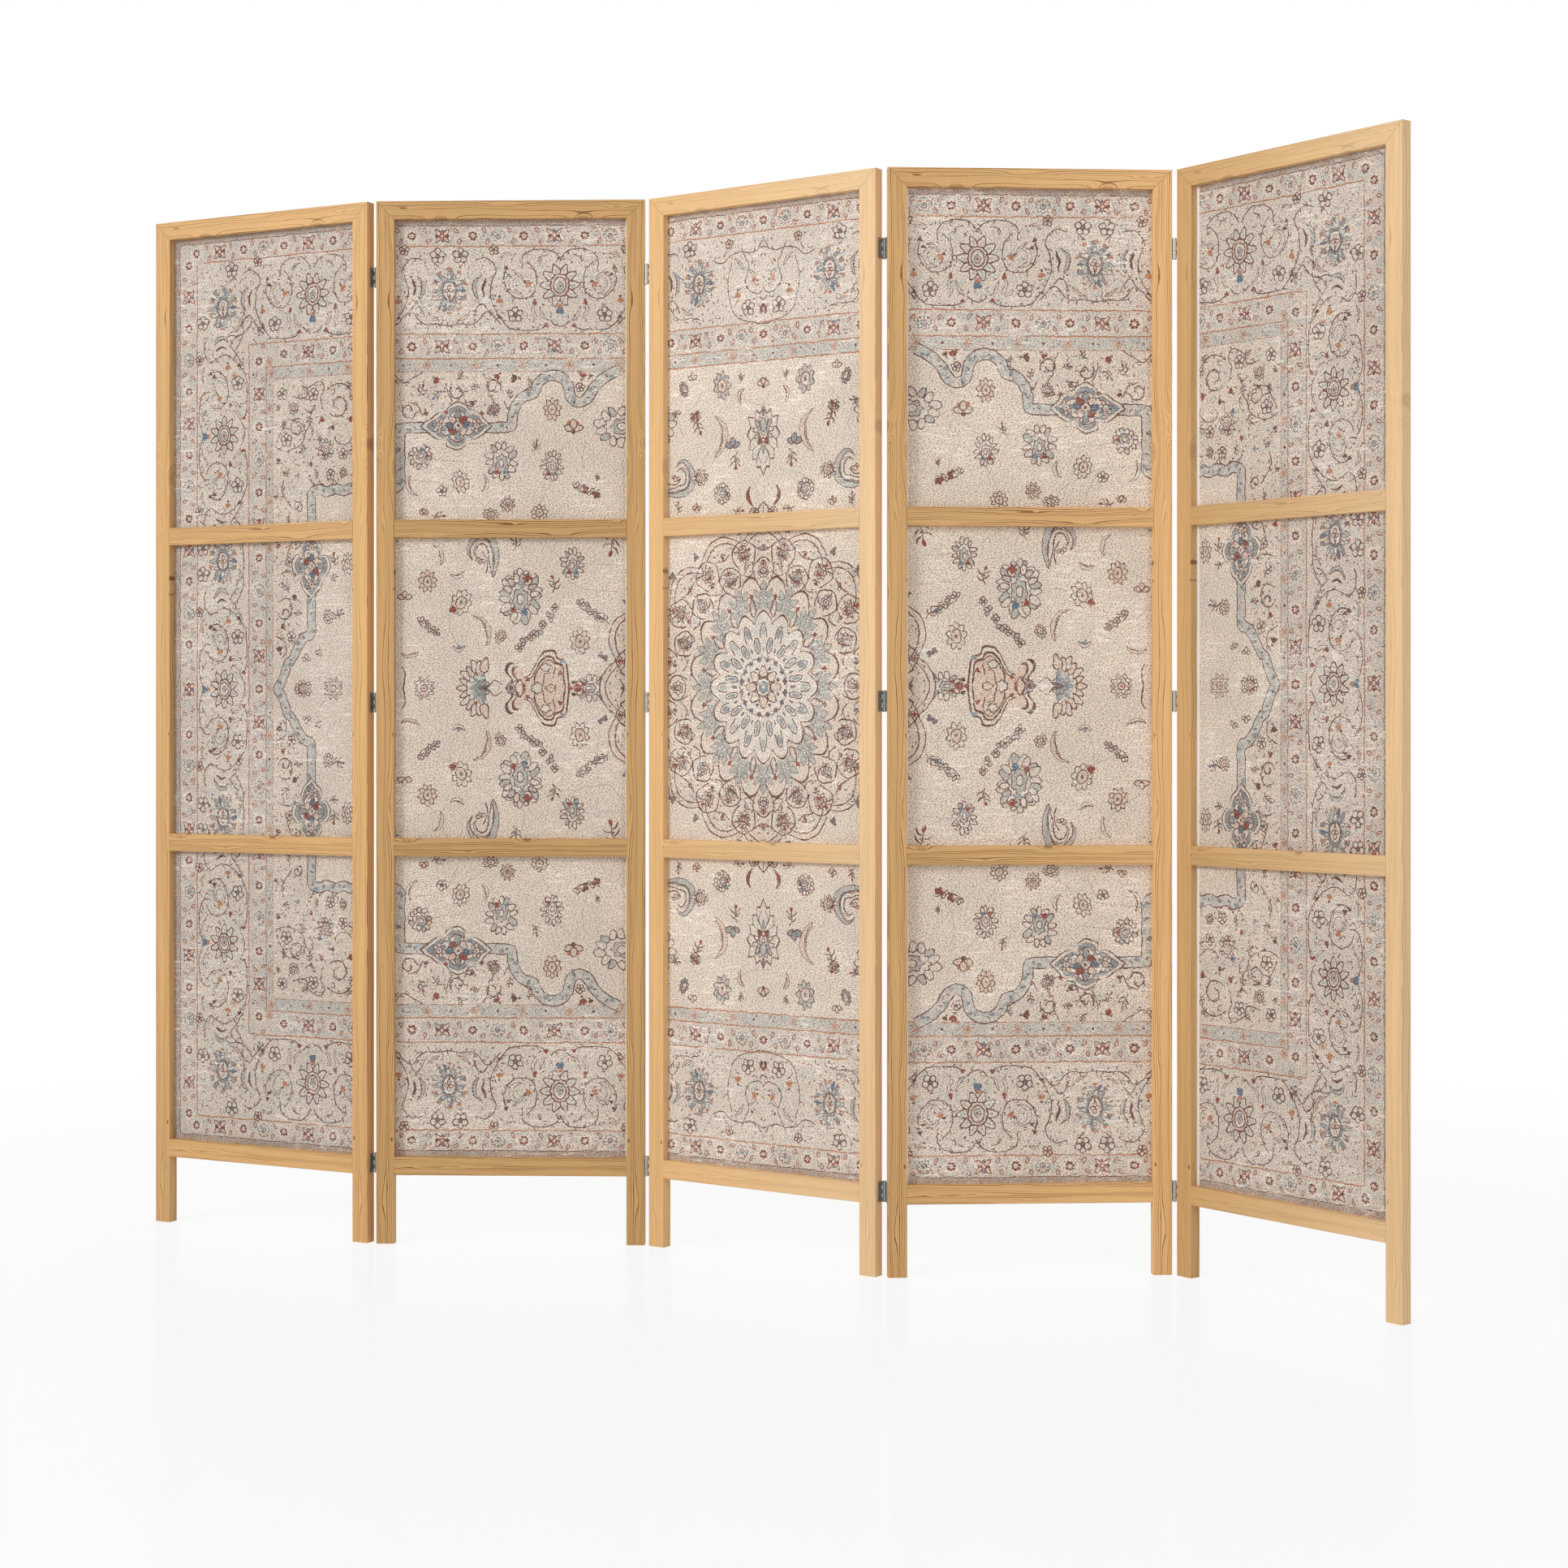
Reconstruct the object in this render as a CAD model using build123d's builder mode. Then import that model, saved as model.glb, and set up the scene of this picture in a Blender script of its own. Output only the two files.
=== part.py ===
"""Five-panel folding screen: pine frames, a stretched printed cloth in each, butt hinges between them.

Millimetres, +Z up. X runs along the opened screen, the printed front faces -Y.
The origin is on the floor, under the middle of the screen's bounding box as it stands at rest.
Each panel is built on its own plane, whose X runs along the panel and whose Y runs from front to rear.
"""
from build123d import *
import os

os.makedirs("parts", exist_ok=True)

# Panels
screen_height = 1720.0
panel_width = 444.0
leg_height = 113.0
rest_yaws = (-27.0, -2.0, -35.0, 3.0, -52.5)
panel_gap = 7.0

# Pine frame members
member_width = 30.0
member_depth = 20.0
edge_radius = 1.0
rebate_width = 10.0
rebate_depth = 7.0

# Cloth and the beads that hold it
cloth_thickness = 0.8
cloth_edge_gap = 1.0
bead_edge_gap = 0.3
mid_bead_width = 20.0
bead_edge_radius = 2.0

# Dowels
dowel_radius = 3.0
dowel_length = 28.0
mitre_dowel_length = 20.0
dowel_end_gap = 1.0
dowel_pitch = 16.0

# Hinges
hinge_height = 32.0
hinge_drop = 123.0
hinge_rise = 131.0
middle_hinge_lift = 29.0
leaf_thickness = 1.5
leaf_width = 14.0
plate_setback = 0.45
pin_offset = 1.0
pin_radius = 1.6
pin_clearance = 0.05
pin_head_radius = 2.4
pin_head_height = 0.8
knuckle_count = 5
knuckle_gap = 0.2

# Hinge screws
screw_length = 12.0
screw_radius = 1.5
screw_head_radius = 2.5
screw_tip_length = 2.0
screw_end_gap = 0.5
screw_pitch = 18.0
recess_length = 2.6
recess_width = 0.6
recess_depth = 0.6

# Worked out from the sizes above
panel_count = len(rest_yaws)
middle_panel = panel_count // 2
cloth_front = member_depth - rebate_depth
bead_front = cloth_front + cloth_thickness
field_height = (screen_height - leg_height - 4 * member_width) / 3
rail_pitch = field_height + member_width
window_left = member_width - rebate_width
window_right = panel_width - window_left
window_bottom = leg_height + member_width - rebate_width
window_top = screen_height - window_left
dowel_depth = cloth_front / 2
knuckle_radius = pin_radius + pin_clearance + leaf_thickness
knuckle_height = (hinge_height - (knuckle_count - 1) * knuckle_gap) / knuckle_count
plate_start = knuckle_radius + plate_setback
screw_row = (plate_start + leaf_width) / 2
screw_head_height = screw_head_radius - screw_radius
top_hinge = screen_height - hinge_drop
middle_hinge = (top_hinge + hinge_rise) / 2 + middle_hinge_lift
hinge_levels = (hinge_rise, middle_hinge, top_hinge)


def pin_depth(joint):
    """Front-to-rear place of a joint's pin: behind the rear faces, then before the front faces, in turn."""
    if joint % 2 == 0:
        return member_depth + pin_offset
    return -pin_offset


def turned(x, y, yaw):
    """A point of a panel's own floor plan, turned by the panel's yaw."""
    return Vector(x, y, 0).rotate(Axis.Z, yaw)


def panel_origins():
    """Front left foot corner of each panel, joined pin to pin, with the whole plan centred on zero."""
    origins = []
    pin = None
    for number, yaw in enumerate(rest_yaws):
        if pin is None:
            origin = Vector(0, 0, 0)
        else:
            origin = pin - turned(-panel_gap / 2, pin_depth(number - 1), yaw)
        pin = origin + turned(panel_width + panel_gap / 2, pin_depth(number), yaw)
        origins.append(origin)
    corners = [
        origin + turned(x, y, yaw)
        for origin, yaw in zip(origins, rest_yaws)
        for x in (edge_radius, panel_width - edge_radius)
        for y in (edge_radius, member_depth - edge_radius)
    ]
    across = [corner.X for corner in corners]
    away = [corner.Y for corner in corners]
    middle = Vector((min(across) + max(across)) / 2, (min(away) + max(away)) / 2, 0)
    return [origin - middle for origin in origins]


def panel_planes():
    """Floor plane of each panel: X along the panel, Y towards its rear, Z up."""
    return [
        Plane(origin=origin, x_dir=turned(1, 0, yaw), z_dir=(0, 0, 1))
        for origin, yaw in zip(panel_origins(), rest_yaws)
    ]


def face_plane(floor, depth=0.0):
    """Plane of a panel's front view: X along the panel, Y up, facing the viewer, at a depth behind the front."""
    return Plane(origin=floor.from_local_coords((0, depth, 0)), x_dir=floor.x_dir, z_dir=-floor.y_dir)


def line_plane(floor, point, direction):
    """Plane at a point of the panel, facing along a direction given in the panel's own axes."""
    start = floor.from_local_coords(point)
    end = floor.from_local_coords(tuple(Vector(*point) + Vector(*direction)))
    return Plane(origin=start, z_dir=end - start)


def rail_bottoms():
    """Lower edge of each rail, from the bottom rail to the top rail."""
    return [leg_height + level * rail_pitch for level in range(4)]


def dowel_lines(left_side):
    """Middle, direction and length of each dowel along one side of a panel."""
    inner = member_width if left_side else panel_width - member_width
    corner = member_width / 2 if left_side else panel_width - member_width / 2
    inward = 1 if left_side else -1
    lines = []
    for bottom in rail_bottoms()[:3]:
        for step in (-dowel_pitch / 2, dowel_pitch / 2):
            middle = (inner, dowel_depth, bottom + member_width / 2 + step)
            lines.append((middle, (inward, 0, 0), dowel_length))
    mitre_middle = (corner, dowel_depth, screen_height - member_width / 2)
    lines.append((mitre_middle, (inward, 0, 1), mitre_dowel_length))
    return lines


def hinge_sides(number):
    """The sides of a panel that carry hinges, as (joint, left_side)."""
    sides = []
    if number > 0:
        sides.append((number - 1, True))
    if number < panel_count - 1:
        sides.append((number, False))
    return sides


def screw_places(joint, left_side):
    """Head centre of each screw on one side of a panel, and the way it is driven."""
    toward_wood = 1 if left_side else -1
    toward_core = -1 if joint % 2 == 0 else 1
    edge = 0.0 if left_side else panel_width
    x = edge - toward_wood * leaf_thickness
    y = pin_depth(joint) + toward_core * screw_row
    return [
        ((x, y, level + step), (toward_wood, 0, 0))
        for level in hinge_levels
        for step in (-screw_pitch / 2, screw_pitch / 2)
    ]


def cut_window(floor):
    """Cut the cloth's rebate out of the rear of the member being built."""
    middle = (
        (window_left + window_right) / 2,
        (cloth_front + member_depth) / 2,
        (window_bottom + window_top) / 2,
    )
    with Locations(Plane(floor.from_local_coords(middle), x_dir=floor.x_dir, z_dir=floor.z_dir)):
        Box(
            window_right - window_left,
            rebate_depth,
            window_top - window_bottom,
            mode=Mode.SUBTRACT,
        )


def cut_dowel_holes(floor, sides):
    """Drill the dowel holes of the member being built. A hole runs past the dowel's end by the end gap."""
    for left_side in sides:
        for middle, direction, length in dowel_lines(left_side):
            with Locations(line_plane(floor, middle, direction)):
                Cylinder(dowel_radius, length + 2 * dowel_end_gap, mode=Mode.SUBTRACT)


def cut_screw_holes(floor, number, left_side):
    """Drill the pilot holes of the hinge screws into the outer face of the stile being built."""
    for joint, hinge_on_left in hinge_sides(number):
        if hinge_on_left == left_side:
            for place, direction in screw_places(joint, left_side):
                with Locations(line_plane(floor, place, direction)):
                    Cylinder(
                        screw_radius,
                        screw_length + screw_end_gap,
                        align=(Align.CENTER, Align.CENTER, Align.MIN),
                        mode=Mode.SUBTRACT,
                    )


def make_stile(floor, number, left_side):
    """An upright: mitred at the top, square at the foot, with its long edges rounded."""
    outer = 0.0 if left_side else panel_width
    inner = member_width if left_side else panel_width - member_width
    with BuildPart() as stile:
        with BuildSketch(face_plane(floor)):
            with BuildLine():
                Polyline(
                    (outer, 0),
                    (inner, 0),
                    (inner, screen_height - member_width),
                    (outer, screen_height),
                    close=True,
                )
            make_face()
        extrude(amount=-member_depth)
        fillet(stile.edges().filter_by(Axis.Z), radius=edge_radius)
        cut_window(floor)
        cut_dowel_holes(floor, (left_side,))
        cut_screw_holes(floor, number, left_side)
    return stile.part


def make_top_rail(floor):
    """The top rail, mitred to both stiles."""
    with BuildPart() as rail:
        with BuildSketch(face_plane(floor)):
            with BuildLine():
                Polyline(
                    (0, screen_height),
                    (panel_width, screen_height),
                    (panel_width - member_width, screen_height - member_width),
                    (member_width, screen_height - member_width),
                    close=True,
                )
            make_face()
        extrude(amount=-member_depth)
        long_edges = rail.edges().filter_by(Axis(floor.origin, floor.x_dir))
        fillet(long_edges, radius=edge_radius)
        cut_window(floor)
        cut_dowel_holes(floor, (True, False))
    return rail.part


def make_cross_rail(floor, bottom):
    """A rail that butts between the stiles. The window leaves the middle ones only as deep as the cloth."""
    with BuildPart() as rail:
        with BuildSketch(face_plane(floor)):
            with Locations((panel_width / 2, bottom + member_width / 2)):
                Rectangle(panel_width - 2 * member_width, member_width)
        extrude(amount=-member_depth)
        long_edges = rail.edges().filter_by(Axis(floor.origin, floor.x_dir))
        fillet(long_edges, radius=edge_radius)
        cut_window(floor)
        cut_dowel_holes(floor, (True, False))
    return rail.part


def make_cloth(floor):
    """The printed sheet, flat in the rebate behind the rails."""
    with BuildPart() as cloth:
        with BuildSketch(face_plane(floor, cloth_front)):
            with Locations(((window_left + window_right) / 2, (window_bottom + window_top) / 2)):
                Rectangle(
                    window_right - window_left - 2 * cloth_edge_gap,
                    window_top - window_bottom - 2 * cloth_edge_gap,
                )
        extrude(amount=-cloth_thickness)
    return cloth.part


def make_bead(floor, left, right, bottom, top):
    """One straight bead behind the cloth, with its rear long edges rounded, flush with the panel's rear."""
    rear = face_plane(floor, bead_front)
    along = floor.x_dir if right - left > top - bottom else floor.z_dir
    with BuildPart() as bead:
        with BuildSketch(rear):
            with Locations(((left + right) / 2, (bottom + top) / 2)):
                Rectangle(right - left, top - bottom)
        extrude(amount=bead_front - member_depth)
        long_edges = bead.edges().filter_by(Axis(floor.origin, along))
        rear_edges = long_edges.sort_by(Axis(floor.origin, floor.y_dir))[-2:]
        fillet(rear_edges, radius=bead_edge_radius)
    return bead.part


def make_beads(floor):
    """The thin pine beads that hold the cloth in its rebate and against the two middle rails."""
    left = window_left + bead_edge_gap
    right = window_right - bead_edge_gap
    bottom = window_bottom + bead_edge_gap
    top = window_top - bead_edge_gap
    inner_left = member_width
    inner_right = panel_width - member_width
    beads = [
        make_bead(floor, left, inner_left, bottom, top),
        make_bead(floor, inner_right, right, bottom, top),
        make_bead(floor, inner_left, inner_right, bottom, leg_height + member_width),
        make_bead(floor, inner_left, inner_right, screen_height - member_width, top),
    ]
    for rail_bottom in rail_bottoms()[1:3]:
        middle = rail_bottom + member_width / 2
        low = middle - mid_bead_width / 2
        beads.append(make_bead(floor, inner_left, inner_right, low, low + mid_bead_width))
    return Compound(children=beads)


def make_dowels(floor):
    """Every dowel of one panel's frame."""
    with BuildPart() as dowels:
        for left_side in (True, False):
            for middle, direction, length in dowel_lines(left_side):
                with Locations(line_plane(floor, middle, direction)):
                    Cylinder(dowel_radius, length)
    return dowels.part


def make_hinge_leaves(floor, number):
    """The hinge leaves on one panel, each a plate on the stile's outer face with its own knuckles."""
    with BuildPart() as leaves:
        for joint, left_side in hinge_sides(number):
            toward_wood = 1 if left_side else -1
            toward_core = -1 if joint % 2 == 0 else 1
            pin_x = -panel_gap / 2 if left_side else panel_width + panel_gap / 2
            pin_y = pin_depth(joint)
            holds_pin = number == parent_panel(joint)
            bore = pin_radius if holds_pin else pin_radius + pin_clearance
            outer = toward_wood * panel_gap / 2
            inner = outer - toward_wood * leaf_thickness
            crank = toward_core * plate_start
            for level in hinge_levels:
                low = level - hinge_height / 2
                with BuildSketch(floor.offset(low)):
                    with BuildLine():
                        Polyline(
                            (pin_x + inner, pin_y + crank),
                            (pin_x + outer, pin_y + crank),
                            (pin_x + outer, pin_y + toward_core * leaf_width),
                            (pin_x + inner, pin_y + toward_core * leaf_width),
                            close=True,
                        )
                    make_face()
                extrude(amount=hinge_height)
                for slot in range(0 if holds_pin else 1, knuckle_count, 2):
                    with BuildSketch(floor.offset(low + slot * (knuckle_height + knuckle_gap))):
                        with BuildLine():
                            Polyline(
                                (pin_x + toward_wood * (knuckle_radius - leaf_thickness), pin_y),
                                (pin_x + toward_wood * knuckle_radius, pin_y),
                                (pin_x + outer, pin_y + crank),
                                (pin_x + inner, pin_y + crank),
                                close=True,
                            )
                        make_face()
                        with Locations((pin_x, pin_y)):
                            Circle(knuckle_radius)
                            Circle(bore, mode=Mode.SUBTRACT)
                    extrude(amount=knuckle_height)
            for place, direction in screw_places(joint, left_side):
                with Locations(line_plane(floor, place, direction)):
                    Cylinder(screw_radius, 2 * leaf_thickness, mode=Mode.SUBTRACT)
                    Cone(
                        screw_head_radius,
                        screw_radius,
                        screw_head_height,
                        align=(Align.CENTER, Align.CENTER, Align.MIN),
                        mode=Mode.SUBTRACT,
                    )
    return leaves.part


def make_hinge_screws(floor, number):
    """The countersunk screws of one panel's hinges, with a cross recess in each head."""
    with BuildPart() as screws:
        for joint, left_side in hinge_sides(number):
            for place, direction in screw_places(joint, left_side):
                head = line_plane(floor, place, direction)
                with BuildSketch(Plane(origin=head.origin, x_dir=head.z_dir, z_dir=head.x_dir)):
                    with BuildLine():
                        Polyline(
                            (0, 0),
                            (0, screw_head_radius),
                            (screw_head_height, screw_radius),
                            (screw_length - screw_tip_length, screw_radius),
                            (screw_length, 0),
                            close=True,
                        )
                    make_face()
                revolve(axis=Axis(head.origin, head.z_dir))
                with BuildSketch(head):
                    Rectangle(recess_length, recess_width)
                    Rectangle(recess_width, recess_length)
                extrude(amount=recess_depth, mode=Mode.SUBTRACT)
    return screws.part


def make_hinge_pins(floor, joint, pin_x):
    """The three pins of one joint, each with a low round head at both ends."""
    with BuildPart() as pins:
        for level in hinge_levels:
            with Locations(floor.offset(level).location * Location((pin_x, pin_depth(joint), 0))):
                Cylinder(pin_radius, hinge_height)
                for end in (-1, 1):
                    with Locations((0, 0, end * (hinge_height + pin_head_height) / 2)):
                        Cylinder(pin_head_radius, pin_head_height)
    return pins.part


def parent_panel(joint):
    """The panel that keeps a joint's pins: the one nearer the middle of the screen."""
    if joint < middle_panel:
        return joint + 1
    return joint


def save(part, name):
    """Label a finished piece and write it out."""
    part.label = name
    export_step(part, f"parts/{name}.step")


floors = panel_planes()
cross_rails = ("bottom_rail", "lower_mid_rail", "upper_mid_rail")
for number, floor in enumerate(floors):
    panel = f"panel_{number + 1}"
    save(make_stile(floor, number, True), f"{panel}_left_stile")
    save(make_stile(floor, number, False), f"{panel}_right_stile")
    save(make_top_rail(floor), f"{panel}_top_rail")
    for rail_name, bottom in zip(cross_rails, rail_bottoms()):
        save(make_cross_rail(floor, bottom), f"{panel}_{rail_name}")
    save(make_cloth(floor), f"{panel}_printed_cloth")
    save(make_beads(floor), f"{panel}_retaining_beads")
    save(make_dowels(floor), f"{panel}_dowels")
    save(make_hinge_leaves(floor, number), f"{panel}_hinge_leaves")
    save(make_hinge_screws(floor, number), f"{panel}_hinge_screws")

for joint in range(panel_count - 1):
    holder = parent_panel(joint)
    pin_x = panel_width + panel_gap / 2 if holder == joint else -panel_gap / 2
    pins = make_hinge_pins(floors[holder], joint, pin_x)
    save(pins, f"hinge_pins_{joint + 1}_{joint + 2}")
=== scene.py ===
# Folding screen of five pine frames holding one rug print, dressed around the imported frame.

import math

import bpy
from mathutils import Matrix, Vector, noise
from mathutils.geometry import delaunay_2d_cdt


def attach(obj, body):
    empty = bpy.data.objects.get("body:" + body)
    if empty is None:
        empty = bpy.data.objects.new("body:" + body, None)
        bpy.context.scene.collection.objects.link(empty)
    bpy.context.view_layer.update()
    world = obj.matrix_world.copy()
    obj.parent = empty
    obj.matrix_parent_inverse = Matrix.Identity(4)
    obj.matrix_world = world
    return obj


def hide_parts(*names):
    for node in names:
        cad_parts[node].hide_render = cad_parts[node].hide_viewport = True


bl_info = {
    "name": "Folding Screen",
    "version": (1, 0, 0),
    "blender": (4, 5, 0),
    "location": "View3D > Sidebar > Screen",
    "description": "Dresses the packed folding screen: pine frames, printed cloths, hinges and brads",
    "category": "Object",
}

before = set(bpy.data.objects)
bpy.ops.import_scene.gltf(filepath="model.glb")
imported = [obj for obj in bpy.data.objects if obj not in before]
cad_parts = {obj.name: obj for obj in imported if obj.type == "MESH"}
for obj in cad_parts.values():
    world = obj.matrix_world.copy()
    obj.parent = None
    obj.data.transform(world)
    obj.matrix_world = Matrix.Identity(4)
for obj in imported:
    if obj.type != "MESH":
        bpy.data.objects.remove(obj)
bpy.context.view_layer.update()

# Sizes in millimetres, as the frame was built

MM = 0.001
PANELS = (1, 2, 3, 4, 5)
PANEL_YAWS = (-27.0, -2.0, -35.0, 3.0, -52.5)
PANEL_WIDTH = 444.0
PANEL_GAP = 7.0
PIN_DEPTHS = (21.0, -1.0, 21.0, -1.0)
EDGE_RADIUS = 1.0
SCREEN_HEIGHT = 1720.0
MEMBER_DEPTH = 20.0
MEMBER_WIDTH = 30.0
CLOTH_LEFT, CLOTH_RIGHT = 21.0, 423.0
CLOTH_LOW, CLOTH_HIGH = 134.0, 1699.0
CLOTH_FRONT, CLOTH_BACK = 13.0, 13.8
CLOTH_WIDTH = CLOTH_RIGHT - CLOTH_LEFT
CLOTH_HEIGHT = CLOTH_HIGH - CLOTH_LOW
CLOTH_THIRD = CLOTH_HEIGHT / 3.0
CLOTH_MIDDLE = PANEL_WIDTH / 2
RAIL_LOWS = {"bottom_rail": 113.0, "lower_mid_rail": 638.67, "upper_mid_rail": 1164.33, "top_rail": 1690.0}
WOOD_MEMBERS = ("left_stile", "right_stile", "top_rail", "upper_mid_rail", "lower_mid_rail", "bottom_rail")


def turned(x, y, yaw):
    """The point x, y turned about the origin by yaw degrees."""
    c, s = math.cos(math.radians(yaw)), math.sin(math.radians(yaw))
    return x * c - y * s, x * s + y * c


def panel_origins():
    """Where the lower front left corner of each panel stands, in millimetres, with the plan centred."""
    origins = [(0.0, 0.0)]
    for i, depth in enumerate(PIN_DEPTHS):
        px, py = turned(PANEL_WIDTH + PANEL_GAP / 2, depth, PANEL_YAWS[i])
        px, py = px + origins[i][0], py + origins[i][1]
        bx, by = turned(-PANEL_GAP / 2, depth, PANEL_YAWS[i + 1])
        origins.append((px - bx, py - by))
    xs, ys = [], []
    for (ox, oy), yaw in zip(origins, PANEL_YAWS):
        for x in (EDGE_RADIUS, PANEL_WIDTH - EDGE_RADIUS):
            for y in (EDGE_RADIUS, MEMBER_DEPTH - EDGE_RADIUS):
                cx, cy = turned(x, y, yaw)
                xs.append(ox + cx)
                ys.append(oy + cy)
    mx, my = (min(xs) + max(xs)) / 2, (min(ys) + max(ys)) / 2
    return [(x - mx, y - my) for x, y in origins]


ORIGINS = panel_origins()


def placed(panel, x, y, z):
    """A panel point in millimetres as a point of the shared frame in metres."""
    px, py = turned(x, y, PANEL_YAWS[panel - 1])
    ox, oy = ORIGINS[panel - 1]
    return Vector(((ox + px) * MM, (oy + py) * MM, z * MM))


# Node trees written as expressions


class Sock:
    """A node socket whose sums and products become Math nodes."""

    def __init__(self, tree, link):
        self.tree, self.link = tree, link

    def _math(self, kind, *others, clamp=False):
        node = self.tree.nodes.new("ShaderNodeMath")
        node.operation, node.use_clamp = kind, clamp
        for i, value in enumerate(others):
            put(self.tree, node.inputs[i], value)
        return Sock(self.tree, node.outputs[0])

    def __add__(self, o):
        return self._math("ADD", self, o)

    __radd__ = __add__

    def __mul__(self, o):
        return self._math("MULTIPLY", self, o)

    __rmul__ = __mul__

    def __sub__(self, o):
        return self._math("SUBTRACT", self, o)

    def __rsub__(self, o):
        return self._math("SUBTRACT", o, self)

    def __truediv__(self, o):
        return self._math("DIVIDE", self, o)

    def __rtruediv__(self, o):
        return self._math("DIVIDE", o, self)

    def __pow__(self, o):
        return self._math("POWER", self, o)

    def f(self, kind, *others):
        """Any other Math operation on this value."""
        return self._math(kind, self, *others)

    def clamp(self):
        """This value held between 0 and 1."""
        return self._math("ADD", self, 0.0, clamp=True)

    def ramp(self, low, high, to_low=0.0, to_high=1.0):
        """Smooth step of this value from low to high."""
        node = self.tree.nodes.new("ShaderNodeMapRange")
        node.interpolation_type = "SMOOTHSTEP"
        for i, value in enumerate((self, low, high, to_low, to_high)):
            put(self.tree, node.inputs[i], value)
        return Sock(self.tree, node.outputs[0])


def put(tree, target, value):
    """Sets a socket to a number or a colour, or links it."""
    if isinstance(value, Sock):
        tree.links.new(value.link, target)
    elif isinstance(value, (int, float)):
        target.default_value = value
    else:
        value = tuple(value)
        target.default_value = value + (1.0,) if len(value) < len(target.default_value) else value


class Look:
    """One material and the nodes in it."""

    def __init__(self, name, tree=None):
        if tree is None:
            self.material = bpy.data.materials.new(name)
            self.material.use_nodes = True
            tree = self.material.node_tree
        self.tree = tree
        self.shader = tree.nodes.get("Principled BSDF")

    def node(self, kind, inputs=None, out=0, **settings):
        """A node of a type, with its settings set first and then its inputs."""
        node = self.tree.nodes.new(kind)
        for key, value in settings.items():
            if key == "stops":
                ramp = node.color_ramp
                while len(ramp.elements) < len(value):
                    ramp.elements.new(0.5)
                for element, (place, colour) in zip(ramp.elements, value):
                    element.position, element.color = place, tuple(colour) + (1.0,)
            else:
                setattr(node, key, value)
        for key, value in (inputs or {}).items():
            put(self.tree, node.inputs[key], value)
        return Sock(self.tree, node.outputs[out])

    def object_point(self, panel):
        """The panel's own coordinates in millimetres: along it, front to rear, and up."""
        point = self.node("ShaderNodeTexCoord", out="Object")
        ox, oy = ORIGINS[panel - 1]
        turn = math.radians(PANEL_YAWS[panel - 1])
        spec = {"Vector": point, "Location": (ox * MM, oy * MM, 0.0), "Rotation": (0.0, 0.0, turn)}
        spec["Scale"] = (MM, MM, MM)
        return self.node("ShaderNodeMapping", spec, vector_type="TEXTURE")

    def split(self, vector):
        """The three parts of a vector."""
        node = self.tree.nodes.new("ShaderNodeSeparateXYZ")
        put(self.tree, node.inputs[0], vector)
        return tuple(Sock(self.tree, node.outputs[i]) for i in range(3))

    def join(self, x, y, z):
        """A vector from three values."""
        return self.node("ShaderNodeCombineXYZ", {0: x, 1: y, 2: z})

    def noise(self, vector, scale=1.0, detail=2.0, rough=0.5):
        """A noise value near 0.5 over the vector."""
        spec = {"Vector": vector, "Scale": scale, "Detail": detail, "Roughness": rough}
        return self.node("ShaderNodeTexNoise", spec)

    def mix(self, factor, a, b):
        """Colour a where the factor is 0, b where it is 1."""
        node = self.tree.nodes.new("ShaderNodeMix")
        node.data_type, node.blend_type, node.clamp_factor = "RGBA", "MIX", True
        put(self.tree, node.inputs[0], factor)
        put(self.tree, node.inputs[6], a)
        put(self.tree, node.inputs[7], b)
        return Sock(self.tree, node.outputs[2])

    def shade(self, colour, factor):
        """A colour made lighter or darker by a value."""
        return self.node("ShaderNodeVectorMath", {0: colour, "Scale": factor}, operation="SCALE")

    def bump(self, height, strength, distance):
        """A normal raised by a height."""
        spec = {"Height": height, "Strength": strength, "Distance": distance}
        return self.node("ShaderNodeBump", spec)

    def finish(self, **values):
        """Puts values on the shader's sockets, named with _ for a space."""
        for key, value in values.items():
            put(self.tree, self.shader.inputs[key.replace("_", " ")], value)
        return self.material


def srgb(r, g, b):
    """A colour given in 0 to 255 as linear light."""
    def line(v):
        v = v / 255.0
        return v / 12.92 if v <= 0.04045 else ((v + 0.055) / 1.055) ** 2.4
    return (line(r), line(g), line(b))


# What a user may change


class WoodSettings(bpy.types.PropertyGroup):
    early_colour: bpy.props.FloatVectorProperty(
        name="Early Wood", description="Pale wood between the rings", subtype="COLOR", size=3,
        default=srgb(224, 178, 118), min=0.0, max=1.0)
    late_colour: bpy.props.FloatVectorProperty(
        name="Late Wood", description="Dark ring lines", subtype="COLOR", size=3,
        default=srgb(128, 76, 34), min=0.0, max=1.0)
    knot_colour: bpy.props.FloatVectorProperty(
        name="Knots", description="Knots and resin marks", subtype="COLOR", size=3,
        default=srgb(122, 72, 34), min=0.0, max=1.0)
    ring_pitch: bpy.props.FloatProperty(
        name="Ring Pitch", description="Distance between two rings in millimetres",
        default=2.8, min=0.5, max=20.0)


class ClothSettings(bpy.types.PropertyGroup):
    ground_colour: bpy.props.FloatVectorProperty(
        name="Ground", description="Wool colour of the print's field", subtype="COLOR", size=3,
        default=srgb(246, 229, 212), min=0.0, max=1.0)


class HardwareSettings(bpy.types.PropertyGroup):
    zinc_colour: bpy.props.FloatVectorProperty(
        name="Zinc", description="Colour of leaves and pins", subtype="COLOR", size=3,
        default=srgb(176, 176, 172), min=0.0, max=1.0)
    brad_radius: bpy.props.FloatProperty(
        name="Brad Head", description="Radius of a brad head", unit="LENGTH",
        default=0.0009, min=0.0003, max=0.003)
    brad_pitch: bpy.props.FloatProperty(
        name="Brad Pitch", description="Distance between brads", unit="LENGTH",
        default=0.12, min=0.02, max=0.5)


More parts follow.
